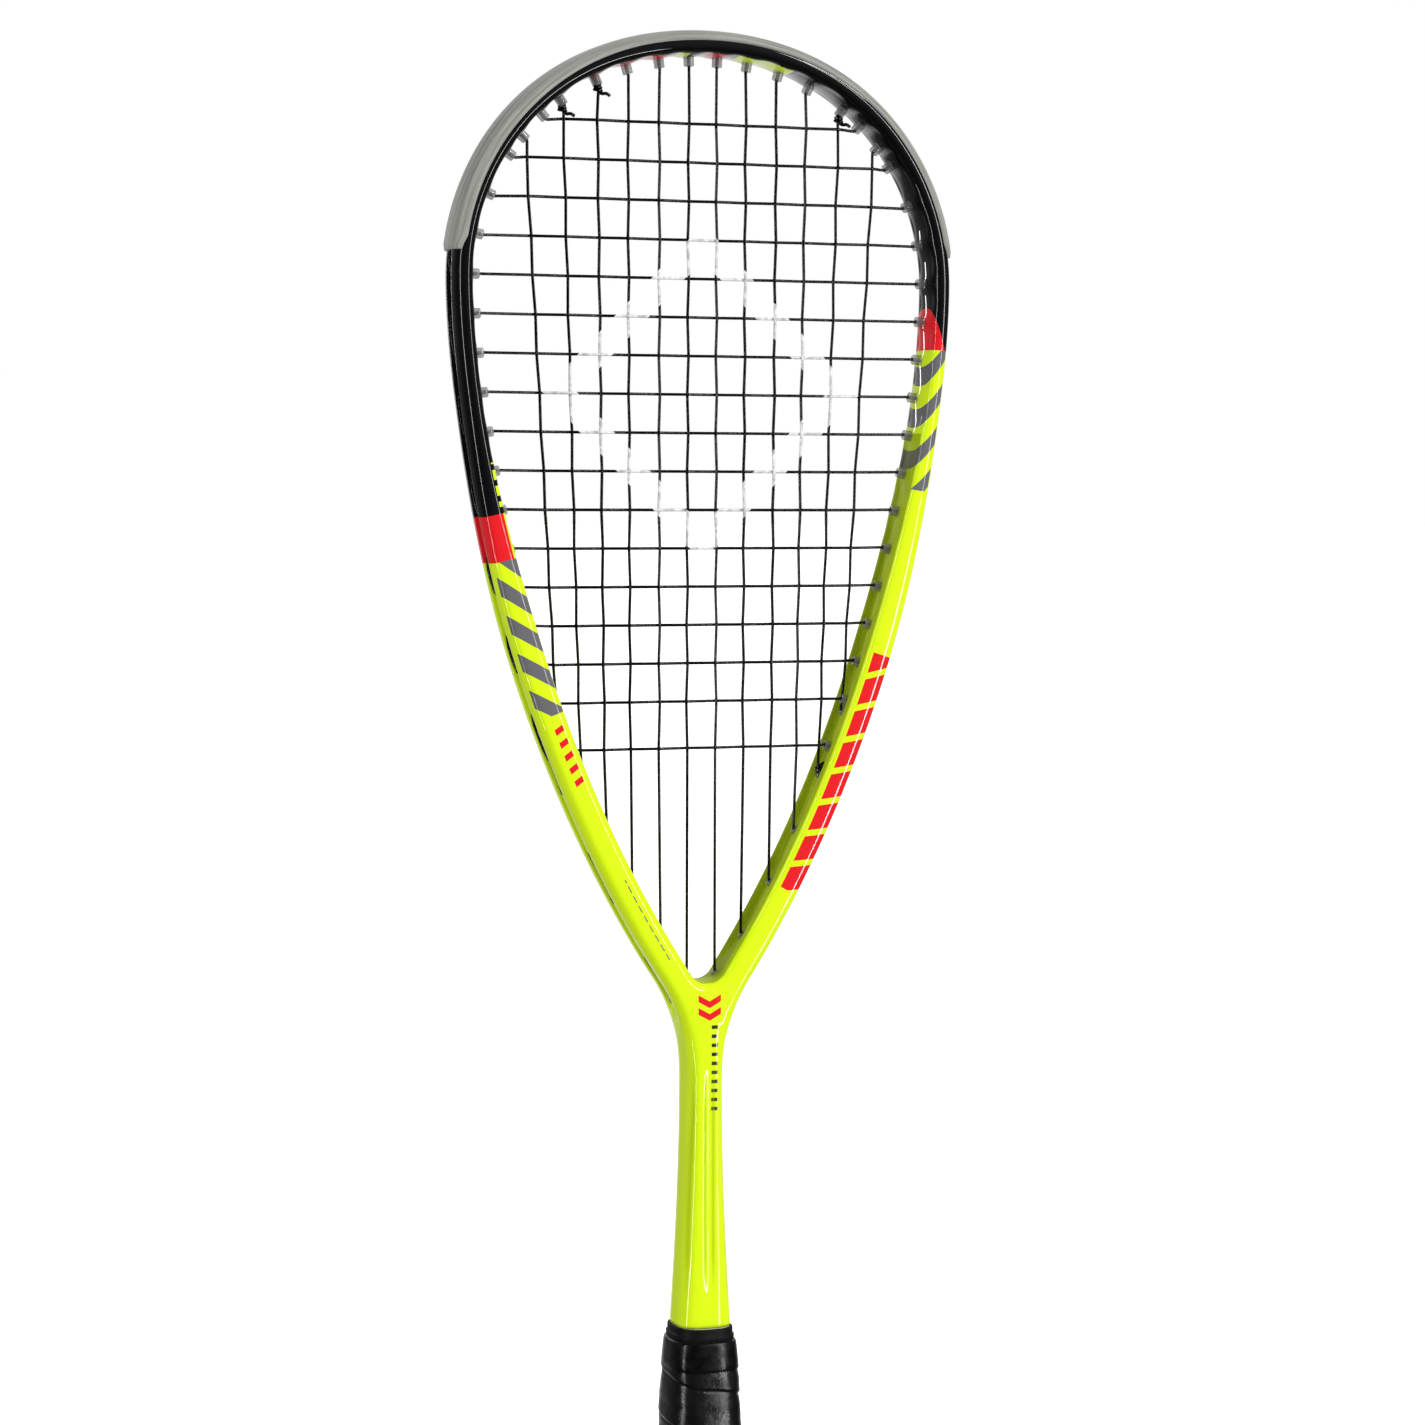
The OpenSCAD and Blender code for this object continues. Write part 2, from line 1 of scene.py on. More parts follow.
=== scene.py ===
"""Looks of the squash racket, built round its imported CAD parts.

Shapes are worked out in millimetres, in the part's own frame: the butt's end face is at
height 0, +Z runs up the shaft, X is the width of the head and -Y is the front.
"""

import math

import bmesh
import bpy
import numpy as np
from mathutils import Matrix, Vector


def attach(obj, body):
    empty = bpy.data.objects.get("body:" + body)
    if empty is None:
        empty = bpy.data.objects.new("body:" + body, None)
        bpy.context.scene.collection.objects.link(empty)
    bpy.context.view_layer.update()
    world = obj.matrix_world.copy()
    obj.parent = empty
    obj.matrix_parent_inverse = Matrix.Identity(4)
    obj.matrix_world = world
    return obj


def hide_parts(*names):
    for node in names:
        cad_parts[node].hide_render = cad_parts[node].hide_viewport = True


MM = 0.001
FULL_TURN = 6.283
JOIN_STEPS = 2000  # steps in a millimetre to which points are rounded before they are joined

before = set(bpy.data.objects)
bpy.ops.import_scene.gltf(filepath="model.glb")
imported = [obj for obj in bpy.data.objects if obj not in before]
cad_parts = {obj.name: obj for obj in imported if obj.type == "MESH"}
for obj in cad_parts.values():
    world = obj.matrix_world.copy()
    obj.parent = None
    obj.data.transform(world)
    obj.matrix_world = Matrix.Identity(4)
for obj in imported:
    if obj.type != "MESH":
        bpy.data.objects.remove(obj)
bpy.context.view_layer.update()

# Sizes of the tube, shaft, strings and grip, as the CAD part has them
TUBE_DEPTH = 20.5
NECK_EXTRA_DEPTH = 0.6
HOOP_THICKNESS = 8.8
ARM_THICKNESS = 11.7
NECK_THICKNESS = 14.4
FLARE_THICKNESS = 22
CORE_THICKNESS = 17.2
CORE_DEPTH = 19.6
CORE_BOTTOM = 8
HOOP_SQUARENESS = 2.5
ARM_SQUARENESS = 4.2
SHAFT_SQUARENESS = 3.4
GROOVE_DEPTH = 2.3
GROOVE_HALF = 2.8
GROOVE_END = 303
CHANNEL_DEPTH = 2.2
CHANNEL_HALF = 5.6
CHANNEL_FADE = (313, 330)
NECK = 262
NECK_BLEND_TOP = 330
ARM_HEIGHTS = (440, 545)
ARCH_RADIUS = 8.15
ARCH_BOTTOM = 313.6
ARCH_CENTRE = np.array([0, ARCH_BOTTOM + ARCH_RADIUS])
ARCH_START = 2.047
ARCH_END = 2.32
ARCH_START_ANGLE = -29.7
HANDLE_TOP = 176
STRING_RADIUS = 0.6
WEAVE = 0.68
GUARD_THICKNESS = 1.6
GRIP_THICKNESS = 30.4
GRIP_EXTRA_DEPTH = 3.6

# Centre line of the frame's right half, as x and height: hoop, arm of the throat,
# and the arm's turn into the shaft
CURVES = np.array([
    [[0, 680], [67, 680], [99, 631], [99, 589]],
    [[99, 589], [99, 535], [78.3, 416], [14, 318]],
    [[14, 318], [-1, 295.1], [2.5, NECK + 13], [2.5, NECK]],
], float)

# Strings, from the middle outwards: where each main meets the hoop and the throat
MAIN_TOP_X = (5.8, 18, 31, 43.5, 57.5, 72.5)
MAIN_BOTTOM_X = (6.2, 17.4, 29.3, 39.8, 50, 60)
CROSS_COUNT = 17
CROSS_TOP = 650
CROSS_PITCH = 15.06
LAST_GAP = 3.4

# Colours, as linear red, green and blue
LIME = (0.70, 0.93, 0.008)
BLACK = (0.004, 0.004, 0.005)
RED = (0.78, 0.012, 0.018)
GREY = (0.14, 0.14, 0.15)
WHITE = (0.8, 0.8, 0.78)


# --- Helpers: numbers ---

def mix(a, b, t):
    return a + (b - a) * t


def ease(low, high, value):
    t = np.clip((value - low) / (high - low), 0, 1)
    return t * t * (3 - 2 * t)


def unit(v):
    return v / np.linalg.norm(v, axis=-1, keepdims=True)


# --- Helpers: the frame's centre line ---
# A place on the frame is one number: 0 at the top of the head, up to 3 down the right
# side to the neck, and down to -3 along the left side.

def curve_at(s):
    s = np.abs(np.asarray(s, float))
    i = np.clip(s.astype(int), 0, 2)
    return CURVES[i], (s - i)[..., None]


def middle(s):
    c, t = curve_at(s)
    p = ((1 - t) ** 3 * c[..., 0, :] + 3 * (1 - t) ** 2 * t * c[..., 1, :]
         + 3 * (1 - t) * t ** 2 * c[..., 2, :] + t ** 3 * c[..., 3, :])
    return p * np.stack([np.where(np.asarray(s) < 0, -1, 1), np.ones(np.shape(s))], -1)


def slope(s):
    c, t = curve_at(s)
    v = (3 * (1 - t) ** 2 * (c[..., 1, :] - c[..., 0, :])
         + 6 * (1 - t) * t * (c[..., 2, :] - c[..., 1, :])
         + 3 * t ** 2 * (c[..., 3, :] - c[..., 2, :]))
    return v * np.stack([np.ones(np.shape(s)), np.where(np.asarray(s) < 0, -1, 1)], -1)


def outward(s):
    v = unit(slope(s))
    return np.stack([-v[..., 1], v[..., 0]], -1)


def arm_share(z):
    return 1 - ease(*ARM_HEIGHTS, z)


def neck_share(z):
    return 1 - ease(NECK, NECK_BLEND_TOP, z)


def half_thickness(s):
    z = middle(s)[..., 1]
    tube = mix(HOOP_THICKNESS / 2, ARM_THICKNESS / 2, arm_share(z))
    return mix(tube, NECK_THICKNESS / 2 - 2.5, neck_share(z))


def half_depth(s):
    return TUBE_DEPTH / 2 + NECK_EXTRA_DEPTH * neck_share(middle(s)[..., 1])


def squareness(s):
    return mix(HOOP_SQUARENESS, ARM_SQUARENESS, arm_share(middle(s)[..., 1]))


def place(s, u, y):
    """Point beside the centre line: u outwards and y towards the back."""
    p = middle(s) + outward(s) * np.asarray(u, float)[..., None]
    return np.stack([p[..., 0], np.broadcast_to(y, p[..., 0].shape), p[..., 1]], -1)


# Length along the centre line from the top of the head, on a fine row of places
FINE = np.linspace(0, 3, 3001)
RUN = np.concatenate([[0], np.cumsum(np.linalg.norm(np.diff(middle(FINE), axis=0), axis=1))])


def run_of(s):
    return np.sign(s) * np.interp(np.abs(s), FINE, RUN)


def run_at_height(z):
    """Length from the top of the head down to a height, along either side."""
    return float(np.interp(-z, -middle(FINE)[:, 1], RUN))


# --- Helpers: meshes ---

def grid_quads(rows, columns):
    """Corners of the quads of a grid of points, row by row."""
    i, j = np.meshgrid(np.arange(rows - 1), np.arange(columns - 1), indexing="ij")
    corner = i * columns + j
    quads = np.stack([corner, corner + 1, corner + columns + 1, corner + columns], -1)
    return quads.reshape(-1, 4)


def add_mesh(name, points, quads, uv):
    """Smooth mesh from points in millimetres. Points in one place are joined."""
    steps = np.round(points * JOIN_STEPS).astype(np.int64)
    _, first, where = np.unique(steps, axis=0, return_index=True, return_inverse=True)
    where = where.reshape(-1)
    faces = []
    corners = []
    for quad in quads.tolist():
        ring = [k for n, k in enumerate(quad) if where[k] != where[quad[n - 1]]]
        if len({int(where[k]) for k in ring}) == len(ring) > 2:
            faces.append([int(where[k]) for k in ring])
            corners.extend(ring)
    mesh = bpy.data.meshes.new(name)
    mesh.from_pydata((points[first] * MM).tolist(), [], faces)
    layer = mesh.uv_layers.new(name="place")
    layer.data.foreach_set("uv", uv[corners].astype(np.float32).reshape(-1))
    shape = bmesh.new()
    shape.from_mesh(mesh)
    bmesh.ops.recalc_face_normals(shape, faces=shape.faces)
    shape.to_mesh(mesh)
    shape.free()
    mesh.shade_smooth()
    piece = bpy.data.objects.new(name, mesh)
    bpy.context.scene.collection.objects.link(piece)
    return piece


def joined(name, parts):
    """One piece from several grids of points with their texture places."""
    points, quads, uvs = [], [], []
    start = 0
    for grid, uv in parts:
        rows, columns = grid.shape[:2]
        points.append(grid.reshape(-1, 3))
        quads.append(grid_quads(rows, columns) + start)
        uvs.append(uv.reshape(-1, 2))
        start += rows * columns
    return add_mesh(name, np.concatenate(points), np.concatenate(quads), np.concatenate(uvs))


def grid_piece(name, grid, uv):
    """One piece from one grid of points, with a pair of texture places per point."""
    return joined(name, [(grid, uv)])


def round_angles(steps):
    """Angles once round a circle, with the first one repeated at the end."""
    return np.linspace(0, 2 * math.pi, steps + 1)


def ring_uv(turns, rows):
    """Texture places of a grid: one value for each column, and one for each row."""
    return np.stack(np.broadcast_arrays(turns, np.asarray(rows)[:, None]), -1)


def disc_ring(angle, radius, z):
    """Level circle of points round the shaft's axis."""
    return np.stack([radius * np.cos(angle), radius * np.sin(angle), 0 * angle + z], -1)


def tube_grid(path, radius, sides):
    """Rings of points round a path, turned as little as possible from ring to ring."""
    ways = unit(np.gradient(path, axis=0))
    side = np.cross(ways[0], [0, 1, 0])
    angle = round_angles(sides)[:, None]
    rings = []
    for point, way in zip(path, ways):
        side = unit(side - way * np.dot(side, way))
        lift = np.cross(side, way)
        rings.append(point + radius * (np.cos(angle) * side + np.sin(angle) * lift))
    length = np.concatenate([[0], np.cumsum(np.linalg.norm(np.diff(path, axis=0), axis=1))])
    return np.array(rings), ring_uv(np.linspace(0, 1, sides + 1), length)


def with_ends(grid, uv):
    """The grid of a tube with a closed end at its first and last ring."""
    ends = [np.broadcast_to(grid[i].mean(0), grid[i].shape) for i in (0, -1)]
    return np.concatenate([[ends[0]], grid, [ends[1]]]), np.concatenate([uv[:1], uv, uv[-1:]])


def rounded(path, times=2, reach=1.1):
    """Path with its corners cut off, a few times over, and no further than the reach."""
    path = np.asarray(path, float)
    points = []
    for a, b in zip(path[:-1], path[1:]):
        points.append(a)
        if np.linalg.norm(b - a) > 2.5 * reach:
            points += [a + reach * unit(b - a), b - reach * unit(b - a)]
    path = np.array([*points, path[-1]])
    for _ in range(times):
        a = path[:-1] * 0.75 + path[1:] * 0.25
        b = path[:-1] * 0.25 + path[1:] * 0.75
        inner = np.stack([a, b], 1).reshape(-1, 3)
        path = np.concatenate([path[:1], inner, path[-1:]])
    return path


def finish_piece(piece, material, slot, *nodes):
    """Gives a piece its material, and lets it stand for CAD nodes of the one body."""
    piece.data.materials.append(material)
    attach(piece, "root")
    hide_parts(*nodes)


# --- Helpers: materials ---

class Nodes:
    """Short ways to add nodes to a tree."""

    def __init__(self, tree):
        self.tree = tree

    def node(self, kind, inputs=(), **settings):
        node = self.tree.nodes.new(kind)
        for name, value in settings.items():
            setattr(node, name, value)
        for socket, value in dict(inputs).items():
            self.put(node.inputs[socket], value)
        return node

    def put(self, socket, value):
        if isinstance(value, bpy.types.NodeSocket):
            self.tree.links.new(value, socket)
        else:
            socket.default_value = value

    def math(self, operation, a, b=0.0):
        return self.node("ShaderNodeMath", {0: a, 1: b}, operation=operation).outputs[0]

    def between(self, value, low, high):
        above = self.math("GREATER_THAN", value, low)
        return self.math("MULTIPLY", above, self.math("LESS_THAN", value, high))

    def blend(self, share, a, b):
        """Colour a where share is 0 and colour b where it is 1."""
        node = self.node("ShaderNodeMix", data_type="RGBA")
        self.put(node.inputs[0], share)
        for socket, colour in ((node.inputs[6], a), (node.inputs[7], b)):
            self.put(socket, (*colour, 1) if isinstance(colour, tuple) else colour)
        return node.outputs[2]

    def every(self, *shares):
        """Where all the shares are 1."""
        total = shares[0]
        for share in shares[1:]:
            total = self.math("MULTIPLY", total, share)
        return total

    def either(self, *shares):
        """The greatest of the shares."""
        total = shares[0]
        for share in shares[1:]:
            total = self.math("MAXIMUM", total, share)
        return total

    def distance(self, value, centre):
        return self.math("ABSOLUTE", self.math("SUBTRACT", value, centre))

    def noise(self, vector, scale, detail=3.0, roughness=0.5):
        inputs = {"Vector": vector, "Scale": scale, "Detail": detail, "Roughness": roughness}
        return self.node("ShaderNodeTexNoise", inputs).outputs[0]

    def cells(self, vector, scale):
        inputs = {"Vector": vector, "Scale": scale}
        return self.node("ShaderNodeTexVoronoi", inputs).outputs["Distance"]

    def remap(self, value, low, high, to_low, to_high):
        inputs = {0: value, 1: low, 2: high, 3: to_low, 4: to_high}
        return self.node("ShaderNodeMapRange", inputs).outputs[0]


class Shader(Nodes):
    """A node material with one principled shader."""

    def __init__(self, name, **values):
        self.material = bpy.data.materials.new(name)
        self.material.use_nodes = True
        super().__init__(self.material.node_tree)
        self.surface = self.tree.nodes["Principled BSDF"]
        for socket, value in values.items():
            self.surface.inputs[socket.replace("_", " ")].default_value = value

    def texture_place(self):
        """The two texture places that the mesh carries."""
        source = self.node("ShaderNodeUVMap", uv_map="place").outputs[0]
        return self.node("ShaderNodeSeparateXYZ", {0: source}).outputs[:2]

    def position(self):
        source = self.node("ShaderNodeTexCoord").outputs["Object"]
        return source, self.node("ShaderNodeSeparateXYZ", {0: source}).outputs

    def bump(self, height, strength, distance):
        inputs = {"Height": height, "Strength": strength, "Distance": distance}
        self.put(self.surface.inputs["Normal"], self.node("ShaderNodeBump", inputs).outputs[0])

    def colour(self, colour):
        self.put(self.surface.inputs["Base Color"], colour)

    def roughness(self, value):
        self.put(self.surface.inputs["Roughness"], value)


# --- Frame ---

INNER_DEPTHS = (0, 1.6, 3.2, 4.4, 5.1, 5.4, 5.6, 5.8, 6.1, 6.8, 7.6)
OUTER_DEPTHS = (3.6, 3.1, 2.9, 2.8, 2.7, 2.45, 1.6, 0)
ARC_STEPS = 16
HOOP_ROWS, ARM_ROWS, TURN_ROWS, THROAT_ROWS, SHAFT_ROWS = 130, 210, 34, 36, 72
LIP_REACH = 9.3
DIMPLE_DEPTH = 0.95
PAD_REACH = 4.2
VALLEY = (0.75, 2.1)  # depth and reach of the valley down the shaft
CREASE = (0.35, 0.6)  # depth and reach of the creases beside it
COLUMNS = len(INNER_DEPTHS) + ARC_STEPS + len(OUTER_DEPTHS)
FLAT_COLUMN = len(INNER_DEPTHS) + ARC_STEPS // 2


def column_angles(depth, power):
    """Angle of each column of a rounded-square section, from its inner side to its outer."""
    def angle(v):
        return np.arcsin((v / depth) ** (power / 2))
    inner = [math.pi - angle(v) for v in INNER_DEPTHS]
    outer = [angle(v) for v in OUTER_DEPTHS]
    arc = np.linspace(inner[-1], outer[0], ARC_STEPS + 2)[1:-1]
    return np.concatenate([inner, arc, outer])


def section(depth, power):
    """Share of the way across, from 0 inside to 1 outside, and depth, for each column."""
    a = column_angles(depth, power)
    across = np.sign(np.cos(a)) * np.abs(np.cos(a)) ** (2 / power)
    return (across + 1) / 2, depth * np.sin(a) ** (2 / power)


def pad_distance(s, hole_places):
    """Distance along the tube to the nearest string hole."""
    return np.abs(run_of(s) - run_of(np.asarray(hole_places))).min()


def inner_recess(s, v, hole_places):
    """How deep the inner side is let in: pads between dimples, then a channel."""
    z = middle(s)[1]
    channel = CHANNEL_DEPTH * arm_share(z) * ease(*CHANNEL_FADE, z)
    gap = 1 - math.exp(-(pad_distance(s, hole_places) / PAD_REACH) ** 2)
    dimple = DIMPLE_DEPTH * gap * (1 - arm_share(z))
    return channel * (1 - ease(5.2, CHANNEL_HALF, v)) + dimple * (1 - ease(5, 9.6, v))


def outer_recess(z, v):
    """How deep the groove for the strings is on the outer side."""
    groove = GROOVE_DEPTH * ease(GROOVE_END - 4, GROOVE_END + 10, z)
    return groove * (1 - ease(2.4, GROOVE_HALF + 0.15, v))


def arm_rows(hole_places):
    """Rows of the hoop, the arm and the arch's side, each from the inner side outwards."""
    places = np.concatenate([np.linspace(0, 1, HOOP_ROWS, endpoint=False),
                             np.linspace(1, 2, ARM_ROWS, endpoint=False),
                             np.linspace(2, ARCH_END, TURN_ROWS)])
    rows = []
    for s in places:
        half = half_thickness(s)
        across, v = section(half_depth(s), squareness(s))
        out = outward(s)
        outer = middle(s) + half * out
        inner = middle(s) - half * out
        inner_way = -out
        turn = (s - ARCH_START) / (ARCH_END - ARCH_START)
        if turn > 0:
            a = math.radians(mix(ARCH_START_ANGLE, -90, turn))
            inner_way = -np.array([math.cos(a), math.sin(a)])
            inner = ARCH_CENTRE - ARCH_RADIUS * inner_way
        flat = inner + (outer - inner) * across[:, None]
        near = 1 - ease(0.2, 0.5, across)
        flat = flat - inner_way * (inner_recess(s, v, hole_places) * near)[:, None]
        flat = flat - out * (outer_recess(middle(s)[1], v) * (across > 0.5))[:, None]
        rows.append((flat, v, float(run_of(s)), across))
    return rows


def edge_share(gap, reach, power):
    """Depth of a rounded edge at a distance from it, as a share of the full depth."""
    return (1 - (1 - np.clip(gap / reach, 0, 1)) ** power) ** (1 / power)


def shaft_half_thickness(z):
    flare = np.clip((NECK - z) / (NECK - HANDLE_TOP), 0, 1) ** 1.5
    return mix(NECK_THICKNESS / 2, FLARE_THICKNESS / 2, flare)


def shaft_half_depth(z):
    return TUBE_DEPTH / 2 + NECK_EXTRA_DEPTH + 0.8 * (1 - ease(HANDLE_TOP, 230, z))


def flute(x, z):
    """Depth of the valley down the middle of the shaft, and of the crease by each edge."""
    length = ease(180, 205, z) * (1 - ease(262, 292, z))
    crease_x = 0.84 * shaft_half_thickness(z)
    valley = VALLEY[0] * np.exp(-(x / VALLEY[1]) ** 2)
    crease = CREASE[0] * np.exp(-((x - crease_x) / CREASE[1]) ** 2)
    return length * (valley + crease)


def column_shares(across, k):
    """Places of the columns across half of the shaft, where the arms have joined."""
    shares = 1 - (1 - np.clip(2 * across - 1, 0, 1)) / k
    start = shares[FLAT_COLUMN]
    even = start * np.arange(FLAT_COLUMN) / FLAT_COLUMN
    return np.concatenate([even, shares[FLAT_COLUMN:]])


def throat_rows():
    """Rows from the arch's lowest point down to the neck, from the middle outwards.

    The first rows start on the arch's lip, each one column higher up it than the last.
    """
    power = squareness(ARCH_END)
    across, _ = section(half_depth(ARCH_END), power)
    lip = across[(across > 0) & (across < 0.5)]
    below = np.linspace(2 * LIP_REACH * lip[-1], ARCH_BOTTOM - NECK, THROAT_ROWS)[1:]
    drops = np.concatenate([2 * LIP_REACH * lip, below])
    starts = np.concatenate([lip, np.full(below.shape, lip[-1])])
    rows = []
    for drop, start in zip(drops, starts):
        t = drop / (ARCH_BOTTOM - NECK)
        s = mix(ARCH_END, 3, t)
        centre = np.array([0, ARCH_BOTTOM - drop])
        outer = middle(s) + half_thickness(s) * outward(s)
        row_power = mix(power, SHAFT_SQUARENESS, t)
        across, v = section(half_depth(s), row_power)
        k = mix(2 * (1 - start), 1, ease(0, 1, t))
        shares = np.clip((across - start) / (1 - start), 0, 1)
        shares = mix(shares, column_shares(across, k), ease(0.15, 0.5, t))
        flat = centre + (outer - centre) * shares[:, None]
        gap = np.linalg.norm(flat - ARCH_CENTRE, axis=1) - ARCH_RADIUS
        side = edge_share((1 - shares) * k, 1, row_power)
        side = np.where(np.arange(COLUMNS) > FLAT_COLUMN, v / half_depth(s), side)
        depth = half_depth(s) * side * edge_share(gap, LIP_REACH, power)
        depth = depth - flute(flat[:, 0], flat[:, 1])
        groove = outer_recess(outer[1], v) * (np.arange(COLUMNS) > FLAT_COLUMN)
        flat = flat - outward(s) * groove[:, None]
        rows.append((flat, np.where(v > 0, depth, 0), float(run_of(s)), shares))
    return rows


def shaft_rows():
    """Rows from the neck down to the grip, and of the narrower core inside the handle."""
    rows = []
    power = SHAFT_SQUARENESS
    for z in np.linspace(NECK, HANDLE_TOP + 0.4, SHAFT_ROWS)[1:]:
        across, v = section(shaft_half_depth(z), power)
        shares = column_shares(across, 1)
        side = (1 - shares ** power) ** (1 / power)
        flat = np.stack([shares * shaft_half_thickness(z), np.full(COLUMNS, z)], -1)
        depth = shaft_half_depth(z) * side - flute(flat[:, 0], z)
        rows.append((flat, np.where(shares < 1, depth, 0), RUN[-1] + NECK - z, shares))
    # The core's outline is that of the last row, and its lowest row closes its end
    for z, share in ((HANDLE_TOP, 1), (CORE_BOTTOM, 1), (CORE_BOTTOM, 0)):
        flat = np.stack([shares * CORE_THICKNESS / 2, np.full(COLUMNS, z)], -1)
        depth = CORE_DEPTH / 2 * side * share
        rows.append((flat, depth, RUN[-1] + NECK - z, shares))
    return rows


def build_frame(hole_places):
    """The whole moulded frame: one quarter, and its mirror images."""
    rows = arm_rows(hole_places) + throat_rows() + shaft_rows()
    grid = np.array([[(x, -y, z) for (x, z), y in zip(flat, v)] for flat, v, _, _ in rows])
    uv = np.array([[(run, a) for a in across] for _, _, run, across in rows])
    quads = grid_quads(len(rows), COLUMNS)
    # Slivers that lie in the mirror plane would leave the two halves doubly joined
    steps_from_mirror = np.round(grid.reshape(-1, 3)[quads, 0] * JOIN_STEPS)
    quads = quads[(steps_from_mirror != 0).any(axis=1)]
    points, corners, uvs = [], [], []
    for n, (x, y) in enumerate(((1, 1), (-1, 1), (1, -1), (-1, -1))):
        points.append((grid * [x, y, 1]).reshape(-1, 3))
        corners.append((quads if x * y > 0 else quads[:, ::-1]) + n * len(points[0]))
        uvs.append((uv * [x, 1]).reshape(-1, 2))
    return add_mesh("moulded_frame", np.concatenate(points), np.concatenate(corners),
                    np.concatenate(uvs))


# --- String holes and strings ---

STRING_SIDES = 8
KNOT_RADIUS = 0.68
STRING_LIFT = 1.4
SHARED_OFFSET = 0.65
MAIN_RUN_DEPTH = -1.35
CROSS_RUN_DEPTH = 1.95
BARREL_HEIGHT = 2.8
HOLE_END = 0.8
SEARCH = np.linspace(0.0005, 2.2, 8801)


def mouth(s, inset):
    """Where a hole's mouth is, as x and height, so far in from the frame's inner side."""
    p = place(s, -half_thickness(s) + inset, 0)
    return p[..., [0, 2]]


def cross_inset(s):
    return -BARREL_HEIGHT * (1 - arm_share(middle(s)[..., 1]))


def main_inset(s):
    return mix(-BARREL_HEIGHT, 1.6, arm_share(middle(s)[..., 1]))


MAIN_MOUTHS = mouth(SEARCH, main_inset(SEARCH))
CROSS_MOUTHS = mouth(SEARCH, cross_inset(SEARCH))


class Hole:
    """A string hole: its place outside, its mouth inside, and the string's offset."""

    def __init__(self, s, inside, offset=0.0):
        self.s = s
        self.mouth = np.array([inside[0], 0, inside[1]])
        self.offset = np.array([0, offset, 0])
        self.outer = place(s, half_thickness(s) - GROOVE_DEPTH + STRING_LIFT, 0)
        self.axis = unit(self.outer - self.mouth)

    def inside(self):
        return self.mouth - HOLE_END * self.axis + self.offset

    def outside(self):
        return self.outer - HOLE_END * self.axis + self.offset


def flip(i):
    """The side that a main or a place is on: -1 for the left and 1 for the right."""
    return -1 if i < 0 else 1


def top_hole(i, offset=0.0):
    upper = SEARCH < 0.9
    s = float(np.interp(MAIN_TOP_X[abs(i) - 1], MAIN_MOUTHS[upper, 0], SEARCH[upper]))
    inside = mouth(s, main_inset(s)) * [flip(i), 1]
    return Hole(flip(i) * s, inside, offset)


def bottom_hole(i, offset=0.0):
    if abs(i) == 1:
        return Hole(flip(i) * 2.18, (flip(i) * MAIN_BOTTOM_X[0], 316.6), offset)
    lower = SEARCH > 1.0
    s = float(np.interp(-MAIN_BOTTOM_X[abs(i) - 1], -MAIN_MOUTHS[lower, 0], SEARCH[lower]))
    inside = mouth(s, main_inset(s)) * [flip(i), 1]
    return Hole(flip(i) * (s + 3 / np.linalg.norm(slope(s))), inside, offset)


def cross_height(k):
    return CROSS_TOP - CROSS_PITCH * (k - 1) - (LAST_GAP if k == CROSS_COUNT else 0)


def cross_hole(k, side):
    s = float(np.interp(-cross_height(k), -CROSS_MOUTHS[:, 1], SEARCH))
    return Hole(side * s, mouth(s, cross_inset(s)) * [side, 1])


# Mains are numbered outwards from the middle, with a minus on the left, and crosses from
# the top down
MAINS = [i for i in range(-6, 7) if i]
CROSSES = range(1, CROSS_COUNT + 1)
MAIN_ENDS = {i: (top_hole(i).mouth, bottom_hole(i).mouth) for i in MAINS}


def main_x(i, z):
    top, bottom = MAIN_ENDS[i]
    return mix(top[0], bottom[0], (top[2] - z) / (top[2] - bottom[2]))


def meets(i, k):
    """Whether a main reaches the height of a cross."""
    top, bottom = MAIN_ENDS[i]
    return bottom[2] + 1.5 < cross_height(k) < top[2] - 1.5


def weave_depth(i, k):
    column = i + 7 if i < 0 else i + 6
    return WEAVE if (column + k) % 2 == 0 else -WEAVE


def crossing(i, k, depth):
    return [main_x(i, cross_height(k)), depth, cross_height(k)]


def outside_run(a, b, depth):
    """Along the groove from one hole to another."""
    count = max(2, math.ceil(np.linalg.norm(b.outer - a.outer) / 9))
    way = flip(b.s - a.s)
    lift = GROOVE_DEPTH - STRING_LIFT

    def beside(hole, sign):
        v = unit(slope(hole.s))
        return hole.outer + hole.offset + HOLE_END * sign * way * np.array([v[0], 0, v[1]])

    between = [place(s, half_thickness(s) - lift, depth)
               for s in np.linspace(a.s, b.s, count + 2)[1:-1]]
    return [beside(a, 1), *between, beside(b, -1)]


def tail(hole):
    """The string's end, from its knot at the hole's mouth out to the groove."""
    return [hole.mouth - 0.3 * hole.axis + hole.offset, hole.outside()]


def string_path(first, runs, final, depth):
    """Tied off at one hole, across the bed by each run in turn, and tied off at another."""
    path = tail(first)
    last = first
    for start, points, end in runs:
        path += outside_run(last, start, depth)
        path += [start.outside(), start.inside(), *points, end.inside(), end.outside()]
        last = end
    return path + outside_run(last, final, depth) + tail(final)[::-1]


def main_path():
    """Tied off at main 5, out to main 6, to and fro to main -6, and tied off at main -5."""
    d = SHARED_OFFSET
    offsets = {5: (d, -d), -4: (-d, 0), -5: (d, 0)}
    runs = []
    for i in MAINS[::-1]:
        at_top, at_bottom = offsets.get(i, (0, 0))
        points = [crossing(i, k, weave_depth(i, k)) for k in CROSSES if meets(i, k)]
        run = (top_hole(i, at_top), points, bottom_hole(i, at_bottom))
        runs.append((run[2], points[::-1], run[0]) if len(runs) % 2 else run)
    return string_path(top_hole(5, -d), runs, top_hole(-5, -d), MAIN_RUN_DEPTH)


